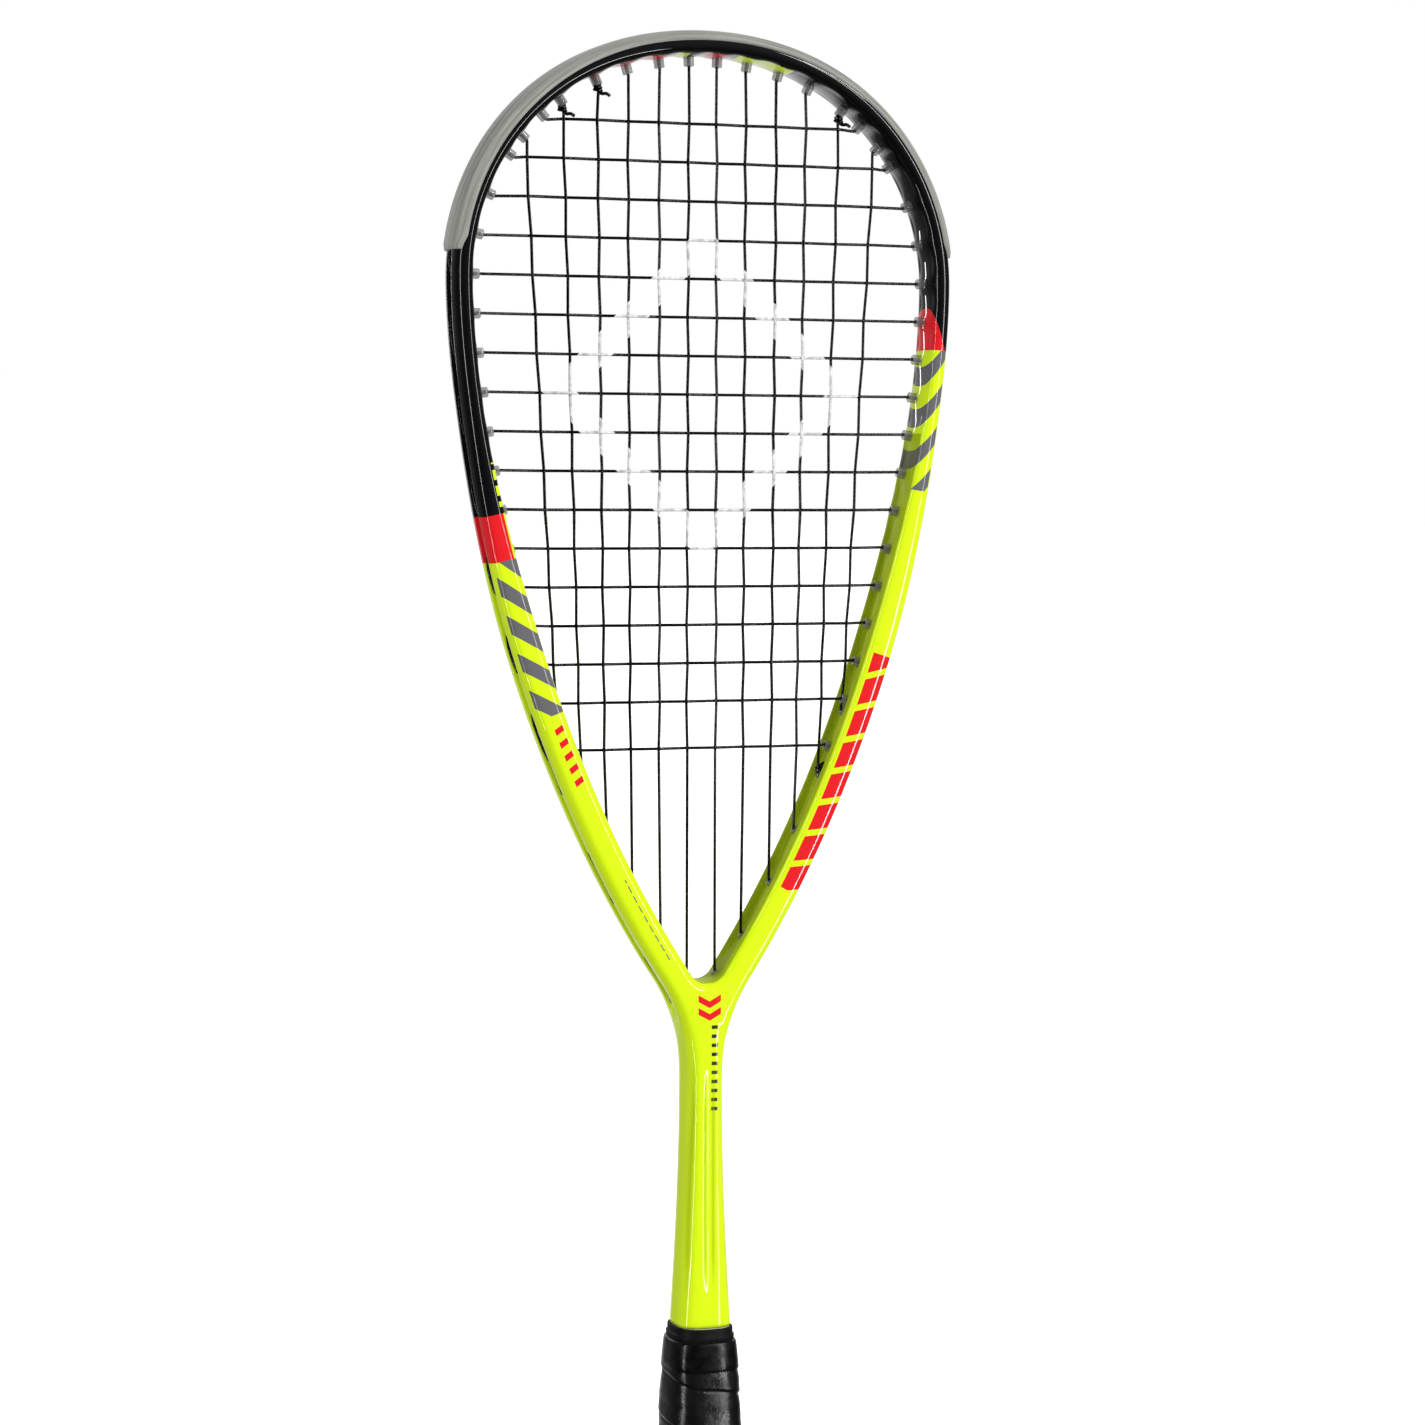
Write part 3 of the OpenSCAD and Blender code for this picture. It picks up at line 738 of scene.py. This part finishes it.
def cross_path():
    """Tied off at the top of main -4, to and fro down the bed, and tied off under main 5."""
    runs = []
    for k in CROSSES:
        side = -1 if k % 2 else 1
        points = [crossing(i, k, -weave_depth(i, k)) for i in MAINS if meets(i, k)]
        runs.append((cross_hole(k, side), points[::-side], cross_hole(k, -side)))
    d = SHARED_OFFSET
    return string_path(top_hole(-4, d), runs, bottom_hole(5, d), CROSS_RUN_DEPTH)


def build_string(name, path):
    grid, uv = with_ends(*tube_grid(rounded(path), STRING_RADIUS, STRING_SIDES))
    return grid_piece(name, grid, uv)


def knot_path(hole, way, depth):
    """A half hitch: two turns round the string, and the cut end standing off."""
    centre = hole.mouth + [0, depth, way * 0.3]
    turns = []
    for a in np.linspace(0.1, 2.15, 26) * 2 * math.pi:
        reach = 1.3 + 0.15 * math.sin(1.7 * a)
        rise = way * (0.35 + 1.1 * a / (2 * math.pi))
        turns.append(centre + [reach * math.cos(a), reach * math.sin(a), rise])
    end = turns[-1]
    tails = [end + [1.2, -0.9, way * 0.9],
             end + [2.6, -1.3, way * 0.5],
             end + [4.2, -1.2, way * 1.5]]
    lead = [centre + [0.2, 0.1, -way * 1.4],
            centre + [0.9, 0.2, -way * 0.4]]
    return lead + turns + tails


def build_knots(name, knots):
    parts = []
    for hole, way, depth in knots:
        path = rounded(knot_path(hole, way, depth))
        parts.append(with_ends(*tube_grid(path, KNOT_RADIUS, STRING_SIDES)))
    return joined(name, parts)


# --- Grommet strips ---

LIP_RADIUS = 2.05
BORE = 0.85
SHARED_BORE = 1.45
BARREL_SIDES = 20
BAND_SECTION = ((0.03, -2.6), (0.5, -2.62), (0.6, -2.45), (0.62, 0), (0.6, 2.45), (0.5, 2.62),
                (0.03, 2.6), (0.03, 0), (0.03, -2.6))


def barrel_profile(length, bore):
    """Radius and distance from the mouth, up the bore, over the lip and down the outside."""
    turns = np.linspace(0, math.pi, 7)
    middle_radius = (bore + LIP_RADIUS) / 2
    half = (LIP_RADIUS - bore) / 2
    rim = [(middle_radius - half * math.cos(a), -0.3 - 0.28 * math.sin(a)) for a in turns]
    return [(bore, length), (bore, 2.5), *rim, (2.07, 1.2), (2.12, 2.6), (2.14, length - 0.2),
            (2.1, length), (bore, length)]


def barrel(hole, bore):
    """Short tube that lines a hole, from its mouth to the strip in the groove."""
    length = float(np.linalg.norm(hole.outer - hole.mouth)) - STRING_LIFT + BAND_SECTION[3][0]
    way = hole.axis
    side = np.array([0, 1, 0])
    lift = np.cross(way, side)
    angle = round_angles(BARREL_SIDES)
    spokes = np.cos(angle)[None, :, None] * side + np.sin(angle)[None, :, None] * lift
    profile = np.array(barrel_profile(length, bore))
    grid = hole.mouth + profile[:, 1, None, None] * way + profile[:, 0, None, None] * spokes
    return grid, ring_uv(angle / FULL_TURN, profile[:, 1])


def strip_band(first, last):
    """The thin strip that joins the barrels along the groove's floor."""
    places = np.linspace(first, last, int(abs(run_of(last) - run_of(first)) / 2) + 2)
    floor = half_thickness(places) - GROOVE_DEPTH
    grid = np.stack([place(places, floor + u, v) for u, v in BAND_SECTION], 1)
    turns = np.linspace(0, 1, len(BAND_SECTION))
    uv = np.stack(np.broadcast_arrays(run_of(places)[:, None], turns), -1)
    return with_ends(grid, uv)


def build_strip(name, first, last, holes, shared):
    """Strip with a barrel for each hole, wider where two strings share the hole."""
    parts = [strip_band(first, last)]
    for hole in holes:
        if first < hole.s < last:
            is_shared = any(np.allclose(hole.mouth, other.mouth) for other in shared)
            parts.append(barrel(hole, SHARED_BORE if is_shared else BORE))
    return joined(name, parts)


# --- Head guard ---

GUARD_TIPS = (-0.928, 0.918)
GUARD_ROWS = 360
GUARD_COLUMNS = 33


def guard_point(s, angle, lift):
    """Point of the guard's section. Angle 0 is the middle of the outside."""
    n = 2 / squareness(s)
    u = (half_thickness(s) + lift) * np.abs(np.cos(angle)) ** n
    v = (half_depth(s) + lift * 0.42) * np.sign(np.sin(angle)) * np.abs(np.sin(angle)) ** n
    return place(s, u, v)


def build_guard():
    """A moulded shell over the outside of the head, thinning to its edges and tips."""
    left, right = GUARD_TIPS
    places = np.linspace(left, right, GUARD_ROWS)
    tip = np.minimum(run_of(places) - run_of(left), run_of(right) - run_of(places))
    reach = np.radians(58 + 18 * ease(0, 6, tip) + 8 * ease(20, 80, -run_of(places)))
    thin = ease(-0.5, 2.5, tip)
    outside, inside = [], []
    shares = np.linspace(-1, 1, GUARD_COLUMNS)
    for share in shares:
        edge = (1 - abs(share) ** 10) ** 0.5
        ridge = 0.14 * math.cos(share * 9.5) ** 2 * (1 - share * share)
        lift = 0.06 + (GUARD_THICKNESS * (0.55 + 0.45 * thin) - ridge) * edge
        outside.append(guard_point(places, reach * share, lift))
        inside.append(guard_point(places, reach * share, 0.04))
    ring = outside + inside[::-1] + outside[:1]
    grid = np.stack(ring, 1)
    across = np.concatenate([shares, shares[::-1], shares[:1]]) / 2 + 0.5
    uv = np.stack(np.broadcast_arrays(run_of(places)[:, None], across), -1)
    return grid_piece("head_guard_shell", *with_ends(grid, uv))


# --- Handle ---

LEATHER_BOTTOM = 8
LEATHER_TOP = 168.2
WRAP_PITCH = 18
WRAP_ROWS = 40
GRIP_COLUMNS = 112
TAPER_START = 124
TAPER_LENGTH = 48
TAPER = 2.6
STRIP_THICKNESS = 1.95
CAP_HEIGHT = 20


def grip_half(z):
    return GRIP_THICKNESS / 2 - TAPER * np.clip((z - TAPER_START) / TAPER_LENGTH, 0, 1) ** 2


def grip_point(z, angle, lift):
    """Point on the grip's rounded-square outline, lifted off its surface."""
    n = 2 / 3
    x = (grip_half(z) + lift) * np.sign(np.cos(angle)) * np.abs(np.cos(angle)) ** n
    y = ((grip_half(z) + GRIP_EXTRA_DEPTH / 2 + lift)
         * np.sign(np.sin(angle)) * np.abs(np.sin(angle)) ** n)
    return np.stack(np.broadcast_arrays(x, y, z), -1)


def crease(z, angle):
    """Small uneven swells and pulls in the wrapped leather."""
    slow = np.sin(3 * angle + 0.31 * z) * np.sin(0.23 * z - 2 * angle + 1)
    quick = np.sin(0.9 * z + 5 * angle) * np.sin(4 * angle - 0.37 * z + 2)
    return 0.16 * slow + 0.07 * quick


def build_leather():
    """The strip of leather, wound up the handle with each turn's edge over the last."""
    count = int((LEATHER_TOP - LEATHER_BOTTOM) / WRAP_PITCH + 2) * WRAP_ROWS
    i = np.arange(count)[:, None]
    turn = np.linspace(1, 0, GRIP_COLUMNS + 1)[None, :]
    angle = -math.pi / 2 - 2 * math.pi * turn
    free = LEATHER_BOTTOM - WRAP_PITCH + WRAP_PITCH * (i / WRAP_ROWS + turn)
    z = np.clip(free, LEATHER_BOTTOM, LEATHER_TOP)
    w = (i % WRAP_ROWS) / WRAP_ROWS
    step = ease(0, 0.05, w) * (1 - 0.85 * ease(0.05, 1, w))
    seam = -0.35 * np.exp(-((w - 0.985) / 0.02) ** 2)
    wrapped = (free > LEATHER_BOTTOM) & (free < LEATHER_TOP)
    lift = np.where(wrapped, -0.25 + 0.5 * step + seam + crease(z, angle), -0.25)
    inside = np.array([LEATHER_TOP, 162, 156, 148, 140, 132, TAPER_START, LEATHER_BOTTOM])
    inside = inside[:, None]
    back = grip_point(inside, angle, -STRIP_THICKNESS)
    grid = np.concatenate([back[-1:], grip_point(z, angle, lift), back])
    rows = np.concatenate([inside[-1:] + 0 * turn, free, inside + 0 * turn])
    uv = np.stack(np.broadcast_arrays(turn * 100, rows), -1)
    return grid_piece("wrapped_leather", grid, uv)


def build_sleeve(name, profile):
    """Sleeve that follows the grip's outline: a ring of (height, lift off the surface)."""
    profile = [*profile, profile[0]]
    angle = round_angles(GRIP_COLUMNS)
    grid = np.array([grip_point(z, angle, lift) for z, lift in profile])
    return grid_piece(name, grid, ring_uv(angle * 16, [z for z, _ in profile]))


def build_tape():
    return build_sleeve("wound_finishing_tape", [
        (159.2, -0.6), (159.2, 0.2), (159.5, 0.38), (162, 0.42), (166, 0.4), (169.6, 0.38),
        (170.4, 0.2), (170.7, -0.1), (170.7, -1.4)])


def build_collar():
    return build_sleeve("rubber_collar", [
        (168.15, -1.95), (168.15, -1.1), (169.3, -0.75), (171.6, -0.35), (172.3, -0.2),
        (172.8, -0.3), (173.1, -0.6), (173.4, -0.8), (175.2, -0.75), (175.8, -0.9),
        (176.1, -1.3), (175.9, -1.95)])


def build_butt_cap():
    """Rounded cap with a lip under the leather and a round recess for its disc."""
    angle = round_angles(GRIP_COLUMNS)
    outline = np.full(angle.shape, 1.0)
    rings = [disc_ring(angle, 0, 3)]
    for z, lift in ((3, -3.0), (CAP_HEIGHT, -3.0), (CAP_HEIGHT, -2.02), (7.9, -2.02),
                    (7.9, -0.8), (7.9, 0.25), (7.5, 0.65), (6.9, 0.8), (2.6, 0.82), (1.2, 0.55),
                    (0.35, -0.05), (0, -0.9), (0, -2.2)):
        rings.append(grip_point(outline * z, angle, lift))
    for radius, z in ((12.2, 0), (11.5, 0.15), (11.2, 0.6), (11.2, 1.2), (0, 1.2)):
        rings.append(disc_ring(angle, radius, z))
    return grid_piece("moulded_butt_cap", np.array(rings),
                      ring_uv(angle * 16, np.arange(len(rings))))


def build_disc():
    """Domed disc with a raised ring round a raised middle."""
    angle = round_angles(96)
    profile = ((0, 1.18), (10.9, 1.18), (10.9, 0.35), (10.6, 0.2), (9.4, 0.2), (9.2, 0.42),
               (7.9, 0.42), (7.7, 0.2), (4.4, 0.16), (4.2, 0.4), (0, 0.36))
    rings = [disc_ring(angle, radius, z) for radius, z in profile]
    return grid_piece("domed_disc", np.array(rings), ring_uv(angle * 16, np.arange(len(rings))))


# --- Materials ---

LEFT, RIGHT = -1, 1
BLACK_END_LEFT = 497.5
BLACK_END_RIGHT = 563
WEDGE_LENGTH = 17
CHANNEL_SHADE = (0.10, 0.11, 0.004)
TICK_INK = (0.03, 0.035, 0.02)
FLUTE_SHADE = (0.30, 0.42, 0.003)


class Paint(Shader):
    """The frame's paint: a ground colour, and layers laid over it by place."""

    def __init__(self, name, ground, **values):
        super().__init__(name, **values)
        self.paint = ground
        self.run, self.across = self.texture_place()
        self.point, (self.x, self.y, self.z) = self.position()

    def layer(self, share, colour):
        self.paint = self.blend(share, self.paint, colour)

    def bars(self, pitch, duty, slant, start=0.0):
        """Slanted bars along the arm, each taking up a share of the pitch."""
        shifted = self.math("ADD", self.run, self.math("MULTIPLY", self.across, slant))
        steps = self.math("DIVIDE", self.math("ADD", shifted, start), pitch)
        return self.math("LESS_THAN", self.math("FRACT", steps), duty)

    def arm_marks(self, side, heights, widths, *marks):
        """Marks between two heights on one arm, and between two places across it."""
        a, b = map(run_at_height, heights[::-1])
        stretch = self.between(self.run, *((a, b) if side == RIGHT else (-b, -a)))
        return self.every(stretch, self.between(self.across, *widths), *marks)


def paint_arms(m):
    """Grey bars, red bars, small red dashes and a dashed hairline."""
    grey_right = m.arm_marks(RIGHT, (507, 563), (0.0, 0.8), m.bars(17, 0.45, 14, 4))
    grey_left = m.arm_marks(LEFT, (420, 480), (0.08, 0.95), m.bars(15, 0.5, -12))
    m.layer(m.either(grey_right, grey_left), GREY)
    blocks = m.math("SUBTRACT", 1, m.bars(13.5, 0.2, 7))
    red_right = m.arm_marks(RIGHT, (349, 442), (0.24, 0.93), blocks)
    dashes = m.arm_marks(LEFT, (392, 418), (0.3, 0.62), m.bars(5.4, 0.45, 3))
    m.layer(m.either(red_right, dashes), RED)
    m.layer(m.arm_marks(LEFT, (323, 355), (0.42, 0.46), m.bars(4.5, 0.7, 0)), GREY)


def paint_head(m):
    """Black head with red ends, and red and lime marks on the hoop's inner side."""
    start, end = -run_at_height(BLACK_END_LEFT), run_at_height(BLACK_END_RIGHT)
    m.layer(m.between(m.run, start, end), BLACK)
    slant = m.math("MULTIPLY", m.across, WEDGE_LENGTH / 0.7)
    past = m.math("SUBTRACT", m.run, end - WEDGE_LENGTH)
    wedge_right = m.every(m.math("GREATER_THAN", past, slant),
                          m.between(m.run, run_at_height(590), end))
    wedge_left = m.arm_marks(LEFT, (480, BLACK_END_LEFT), (0.2, 1.1))
    m.layer(m.either(wedge_right, wedge_left), RED)
    rim = m.between(m.across, -1, 0.1)
    for runs, colour in ((((-50, -17), (-1, 9)), RED), (((-13, -8), (13, 37)), LIME)):
        stretches = m.either(*(m.between(m.run, *ends) for ends in runs))
        m.layer(m.every(rim, stretches), colour)
    m.layer(m.arm_marks(LEFT, (500, 517), (-1, 0.3), m.bars(6.2, 0.62, 0)), LIME)


def shade_channel(m):
    """Painted shade on the inner side of the arms: darker olive colour in the channel, duller with
    no coat.
    """
    depth = m.math("ABSOLUTE", m.y)
    channel = m.every(m.math("LESS_THAN", depth, 0.0082),
                      m.between(m.across, -1, 0.2), m.between(m.z, 0.313, 0.53))
    cloud = m.remap(m.noise(m.point, 90), 0.3, 0.7, 0.5, 0.62)
    # Painted shade: the channel's lime is darkened towards olive, as the recess is in shade.
    m.layer(m.math("MULTIPLY", channel, cloud), CHANNEL_SHADE)
    m.put(m.surface.inputs["Coat Weight"], m.math("SUBTRACT", 1, channel))


def paint_throat(m):
    """Two red chevrons under the arch, and a row of dark ticks below them."""
    side = m.math("ABSOLUTE", m.x)
    height = m.math("SUBTRACT", m.z, m.math("MULTIPLY", side, 0.55))
    chevrons = m.either(m.between(height, 0.3035, 0.3062), m.between(height, 0.2985, 0.3012))
    m.layer(m.every(chevrons, m.math("LESS_THAN", side, 0.0047)), RED)
    steps = m.math("FRACT", m.math("DIVIDE", m.z, 0.0036))
    ticks = m.every(m.math("LESS_THAN", steps, 0.4), m.between(m.z, 0.262, 0.298),
                    m.between(m.x, 0.0008, 0.0034))
    m.layer(ticks, TICK_INK)


def shade_flutes(m):
    """Painted shade in the shaft's valley and creases: darker lines of colour along them."""
    side = m.math("ABSOLUTE", m.x)
    crease = m.remap(m.z, 0.186, 0.262, 0.0088, 0.0060)
    lines = m.either(*(m.remap(m.distance(side, middle_x), 0, 0.0009, 0.55, 0)
                       for middle_x in (0.0017, crease)))
    top = m.remap(m.z, 0.262, 0.285, 1, 0)
    # Painted shade: darker lines on the valley's slopes and in the creases by the edges.
    m.layer(m.every(lines, m.remap(m.z, 0.188, 0.206, 0, 1), top), FLUTE_SHADE)


def painted_frame():
    """Gloss paint: black and red over lime, with slanted bars on both arms, and painted shade in
    the arms' channel and the shaft's flutes.
    """
    m = Paint("gloss_paint", LIME, Roughness=0.4, Specular_IOR_Level=0.08, Coat_Weight=1.0,
              Coat_Roughness=0.02, Coat_IOR=1.55)
    paint_arms(m)
    paint_head(m)
    shade_channel(m)
    paint_throat(m)
    shade_flutes(m)
    m.colour(m.paint)
    m.bump(m.noise(m.point, 120, 2), 0.006, 0.0005)
    return m.material


def guard_plastic():
    """Grey nylon, scuffed into fine streaks along its length."""
    m = Shader("guard_nylon", Roughness=0.42)
    run, across = m.texture_place()
    stretched = {0: m.math("MULTIPLY", run, 0.02), 1: m.math("MULTIPLY", across, 26)}
    vector = m.node("ShaderNodeCombineXYZ", stretched).outputs[0]
    streaks = m.noise(vector, 3, 6, 0.65)
    wide = m.noise(vector, 0.7, 2)
    tone = m.remap(m.math("ADD", streaks, wide), 0.75, 1.25, 0.0, 1.0)
    m.colour(m.blend(tone, (0.17, 0.17, 0.155), (0.40, 0.40, 0.365)))
    m.roughness(m.remap(streaks, 0.3, 0.7, 0.32, 0.55))
    m.bump(streaks, 0.25, 0.0004)
    return m.material


def clear_plastic():
    """Smoky clear moulded plastic of the grommets."""
    m = Shader("grommet_plastic", Roughness=0.16, Alpha=0.52, Coat_Weight=0.6)
    point = m.position()[0]
    smoke = m.remap(m.noise(point, 160), 0.3, 0.7, 0, 1)
    m.colour(m.blend(smoke, (0.2, 0.2, 0.19), (0.34, 0.34, 0.32)))
    m.bump(m.noise(point, 900, 2), 0.05, 0.0002)
    return m.material


def string_fibre():
    """Black braided string, with a worn white diamond outline printed on the bed."""
    m = Shader("string_fibre", Roughness=0.16, Specular_IOR_Level=0.7)
    turn, length = m.texture_place()
    point, (x, _, z) = m.position()
    strand = m.math("MULTIPLY", turn, 3)
    waves = [m.math("SINE", m.math("MULTIPLY", m.math(way, strand, length), FULL_TURN))
             for way in ("ADD", "SUBTRACT")]
    braid = m.math("MAXIMUM", *waves)
    span = m.math("ADD", m.math("ABSOLUTE", x), m.distance(z, 0.545))
    diamond = m.between(span, 0.052, 0.066)
    worn = m.remap(m.noise(point, 420, 3), 0.35, 0.6, 0.55, 1)
    black = m.blend(m.remap(braid, 0.2, 1, 0, 1), (0.001, 0.001, 0.001), (0.004, 0.004, 0.004))
    m.colour(m.blend(m.math("MULTIPLY", diamond, worn), black, WHITE))
    m.bump(braid, 0.3, 0.0001)
    return m.material


def leather():
    """Black leather: fine grain, shallow folds and soft mottling."""
    m = Shader("black_leather", Roughness=0.42, Specular_IOR_Level=1.0)
    point = m.position()[0]
    grain = m.cells(point, 1400)
    folds = m.noise(point, 170, 6, 0.6)
    mottle = m.noise(point, 45, 3)
    mottled = m.remap(mottle, 0.35, 0.65, 0, 1)
    m.colour(m.blend(mottled, (0.002, 0.002, 0.0022), (0.007, 0.007, 0.0075)))
    m.roughness(m.remap(folds, 0.3, 0.7, 0.22, 0.34))
    height = m.math("ADD", m.math("MULTIPLY", grain, 0.2), m.math("MULTIPLY", folds, 0.9))
    m.bump(height, 0.4, 0.0005)
    return m.material


def tape_vinyl():
    m = Shader("vinyl_tape", Roughness=0.24)
    point = m.position()[0]
    dust = m.noise(point, 300, 4)
    m.colour(m.blend(dust, (0.002, 0.002, 0.0022), (0.006, 0.006, 0.0065)))
    m.roughness(m.remap(dust, 0.3, 0.7, 0.18, 0.36))
    m.bump(m.noise(point, 120, 3), 0.15, 0.0004)
    return m.material


def moulded_rubber(name, low, high):
    m = Shader(name, Roughness=0.5, Specular_IOR_Level=0.2)
    point = m.position()[0]
    grain = m.noise(point, 1500, 3)
    cloud = m.noise(point, 80, 3)
    m.colour(m.blend(cloud, low, high))
    m.roughness(m.remap(grain, 0.3, 0.7, 0.4, 0.6))
    m.bump(grain, 0.2, 0.0002)
    return m.material


def handle_foam():
    """Pale closed-cell foam with small pits."""
    m = Shader("handle_foam", Roughness=0.85)
    point = m.position()[0]
    m.colour(m.blend(m.noise(point, 120), (0.62, 0.58, 0.46), (0.74, 0.70, 0.58)))
    m.bump(m.cells(point, 900), 0.6, 0.0006)
    return m.material


def staple_steel():
    m = Shader("staple_steel", Metallic=1.0, Roughness=0.3)
    point = m.position()[0]
    drawn = m.noise(point, 700, 4)
    m.colour(m.blend(drawn, (0.42, 0.42, 0.44), (0.62, 0.62, 0.64)))
    m.roughness(m.remap(drawn, 0.3, 0.7, 0.22, 0.42))
    return m.material


def studio_floor():
    m = Shader("studio_floor", Roughness=0.9, Emission_Color=(1, 1, 1, 1), Emission_Strength=0.75)
    point = m.position()[0]
    m.colour(m.blend(m.noise(point, 3), (0.93, 0.93, 0.93), (0.96, 0.96, 0.96)))
    return m.material


# --- The pieces ---

HOLES = [hole(i) for hole in (top_hole, bottom_hole) for i in MAINS]
HOLES += [cross_hole(k, side) for k in CROSSES for side in (LEFT, RIGHT)]
SHARED = [top_hole(-5), top_hole(5), top_hole(-4), bottom_hole(5)]
HEAD_STRIP_END = 11 / 12
SIDE_STRIP_END = 1.5
THROAT_STRIP_END = 2.24
STRIPS = {
    "head_grommet_strip": (-HEAD_STRIP_END, HEAD_STRIP_END),
    "left_grommet_strip": (-SIDE_STRIP_END, -HEAD_STRIP_END),
    "right_grommet_strip": (HEAD_STRIP_END, SIDE_STRIP_END),
    "left_throat_grommets": (-THROAT_STRIP_END, -SIDE_STRIP_END),
    "right_throat_grommets": (SIDE_STRIP_END, THROAT_STRIP_END),
}

moulded_frame = build_frame([hole.s for hole in HOLES if hole.s > 0])
finish_piece(moulded_frame, painted_frame(), "painted_frame", "frame")
finish_piece(build_guard(), guard_plastic(), "guard", "bumper_guard")

clear = clear_plastic()
for name, (first, last) in STRIPS.items():
    piece = build_strip(name.replace("grommet", "moulded_grommet"), first, last, HOLES, SHARED)
    finish_piece(piece, clear, "grommet", name)

fibre = string_fibre()
finish_piece(build_string("woven_main_string", main_path()), fibre, "string", "main_string")
finish_piece(build_string("woven_cross_string", cross_path()), fibre, "string", "cross_string")
main_knots = [(top_hole(-5), -1, SHARED_OFFSET), (top_hole(5), -1, SHARED_OFFSET)]
cross_knots = [(top_hole(-4), -1, -SHARED_OFFSET), (bottom_hole(5), 1, -SHARED_OFFSET)]
finish_piece(build_knots("tied_main_knots", main_knots), fibre, "string", "main_string_knots")
finish_piece(build_knots("tied_cross_knots", cross_knots), fibre, "string", "cross_string_knots")

finish_piece(build_leather(), leather(), "grip", "grip_leather")
finish_piece(build_tape(), tape_vinyl(), "tape", "grip_finishing_tape")
rubber = moulded_rubber("collar_rubber", (0.003, 0.003, 0.003), (0.009, 0.009, 0.009))
finish_piece(build_collar(), rubber, "collar", "grip_collar")
plastic = moulded_rubber("cap_plastic", (0.008, 0.008, 0.008), (0.022, 0.022, 0.022))
finish_piece(build_butt_cap(), plastic, "cap", "butt_cap")
enamel = moulded_rubber("disc_enamel", (0.5, 0.01, 0.012), (0.62, 0.014, 0.018))
finish_piece(build_disc(), enamel, "disc", "butt_cap_disc")

foam = handle_foam()
for name in ("handle_pallet_left", "handle_pallet_right", "shaft_foam_core"):
    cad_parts[name].material_slots[0].material = foam
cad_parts["butt_cap_staples"].material_slots[0].material = staple_steel()


# --- Floor, light and camera ---

CAMERA_YAW = math.radians(20.1)
CAMERA_DISTANCE = 1.452
CAMERA_HEIGHT = 0.5056
CAMERA_PITCH = math.radians(3.39)
CAMERA_AIM = math.radians(0.166)
CAMERA_ROLL = math.radians(-0.15)
CAMERA_LENS = 93.1
SENSOR_WIDTH = 36
FLOOR_RADIUS = 60000
FLOOR_TOP = -0.2
FLOOR_BOTTOM = -20

# Soft strips of light: name, power, place, target, width and height
LIGHT_STRIPS = (
    ("left_strip", 11, (-1.75, -0.35, 0.5), (0, 0, 0.45), 0.09, 2.2),
    ("back_strip", 1.0, (-0.66, 1.7, 0.78), (0, 0, 0.55), 0.05, 0.6),
    ("top_strip", 4, (1.0, -0.9, 1.5), (0, 0, 0.5), 0.5, 0.06),
    ("right_strip", 13, (0.98, -1.5, 0.5), (0, 0, 0.45), 0.09, 2.4),
)


def build_floor():
    """Plain round floor, left out of reflections and bounced light."""
    angle = round_angles(64)
    profile = ((0, FLOOR_TOP), (FLOOR_RADIUS, FLOOR_TOP), (FLOOR_RADIUS, FLOOR_BOTTOM),
               (0, FLOOR_BOTTOM))
    grid = np.array([disc_ring(angle, radius, z) for radius, z in profile])
    floor = grid_piece("studio_floor", grid, grid[..., :2] * MM)
    floor.data.materials.append(studio_floor())
    floor.visible_glossy = False
    floor.visible_diffuse = False


def add_light(name, kind, power, location, target, **settings):
    light = bpy.data.lights.new(name, kind)
    light.energy = power
    for key, value in settings.items():
        setattr(light, key, value)
    lamp = bpy.data.objects.new(name, light)
    lamp.location = location
    away = Vector(location) - Vector(target)
    lamp.rotation_euler = away.to_track_quat("Z", "Y").to_euler()
    bpy.context.scene.collection.objects.link(lamp)
    return lamp


def light_world():
    """A white backdrop for the camera, and a dimmer even light for the object.

    Reflections show a backdrop that is bright only behind the object and to its right.
    """
    world = bpy.data.worlds.new("studio")
    world.use_nodes = True
    n = Nodes(world.node_tree)
    n.tree.nodes.clear()
    way = n.node("ShaderNodeTexCoord").outputs["Generated"]
    x, y = n.node("ShaderNodeSeparateXYZ", {0: way}).outputs[:2]
    reflected = n.math("MULTIPLY", n.remap(y, 0.35, 0.85, 0.02, 0.9), n.remap(x, -0.3, 0, 0.08, 1))
    rays = n.node("ShaderNodeLightPath").outputs
    around = n.node("ShaderNodeBackground", {0: (0.64, 0.64, 0.65, 1)})
    for kind, shade in (("Is Glossy Ray", reflected), ("Is Camera Ray", (1, 1, 1, 1))):
        seen = n.node("ShaderNodeBackground", {0: shade})
        shaders = {0: rays[kind], 1: around.outputs[0], 2: seen.outputs[0]}
        around = n.node("ShaderNodeMixShader", shaders)
    n.node("ShaderNodeOutputWorld", {0: around.outputs[0]})
    bpy.context.scene.world = world


build_floor()
light_world()
bpy.context.scene.view_settings.view_transform = "Standard"
key = add_light("key", "SUN", 1.15, (1.2, -2.0, 2.0), (0, 0, 0.4), angle=math.radians(30))
key.visible_glossy = False
for name, power, location, target, width, height in LIGHT_STRIPS:
    add_light(name, "AREA", power, location, target, shape="RECTANGLE", size=width, size_y=height)

camera_data = bpy.data.cameras.new("camera")
camera_data.lens = CAMERA_LENS
camera_data.sensor_width = SENSOR_WIDTH
camera = bpy.data.objects.new("camera", camera_data)
camera.location = (-CAMERA_DISTANCE * math.sin(CAMERA_YAW),
                   -CAMERA_DISTANCE * math.cos(CAMERA_YAW), CAMERA_HEIGHT)
camera.rotation_euler = (math.pi / 2 - CAMERA_PITCH, CAMERA_ROLL, -CAMERA_YAW - CAMERA_AIM)
bpy.context.scene.collection.objects.link(camera)
bpy.context.scene.camera = camera
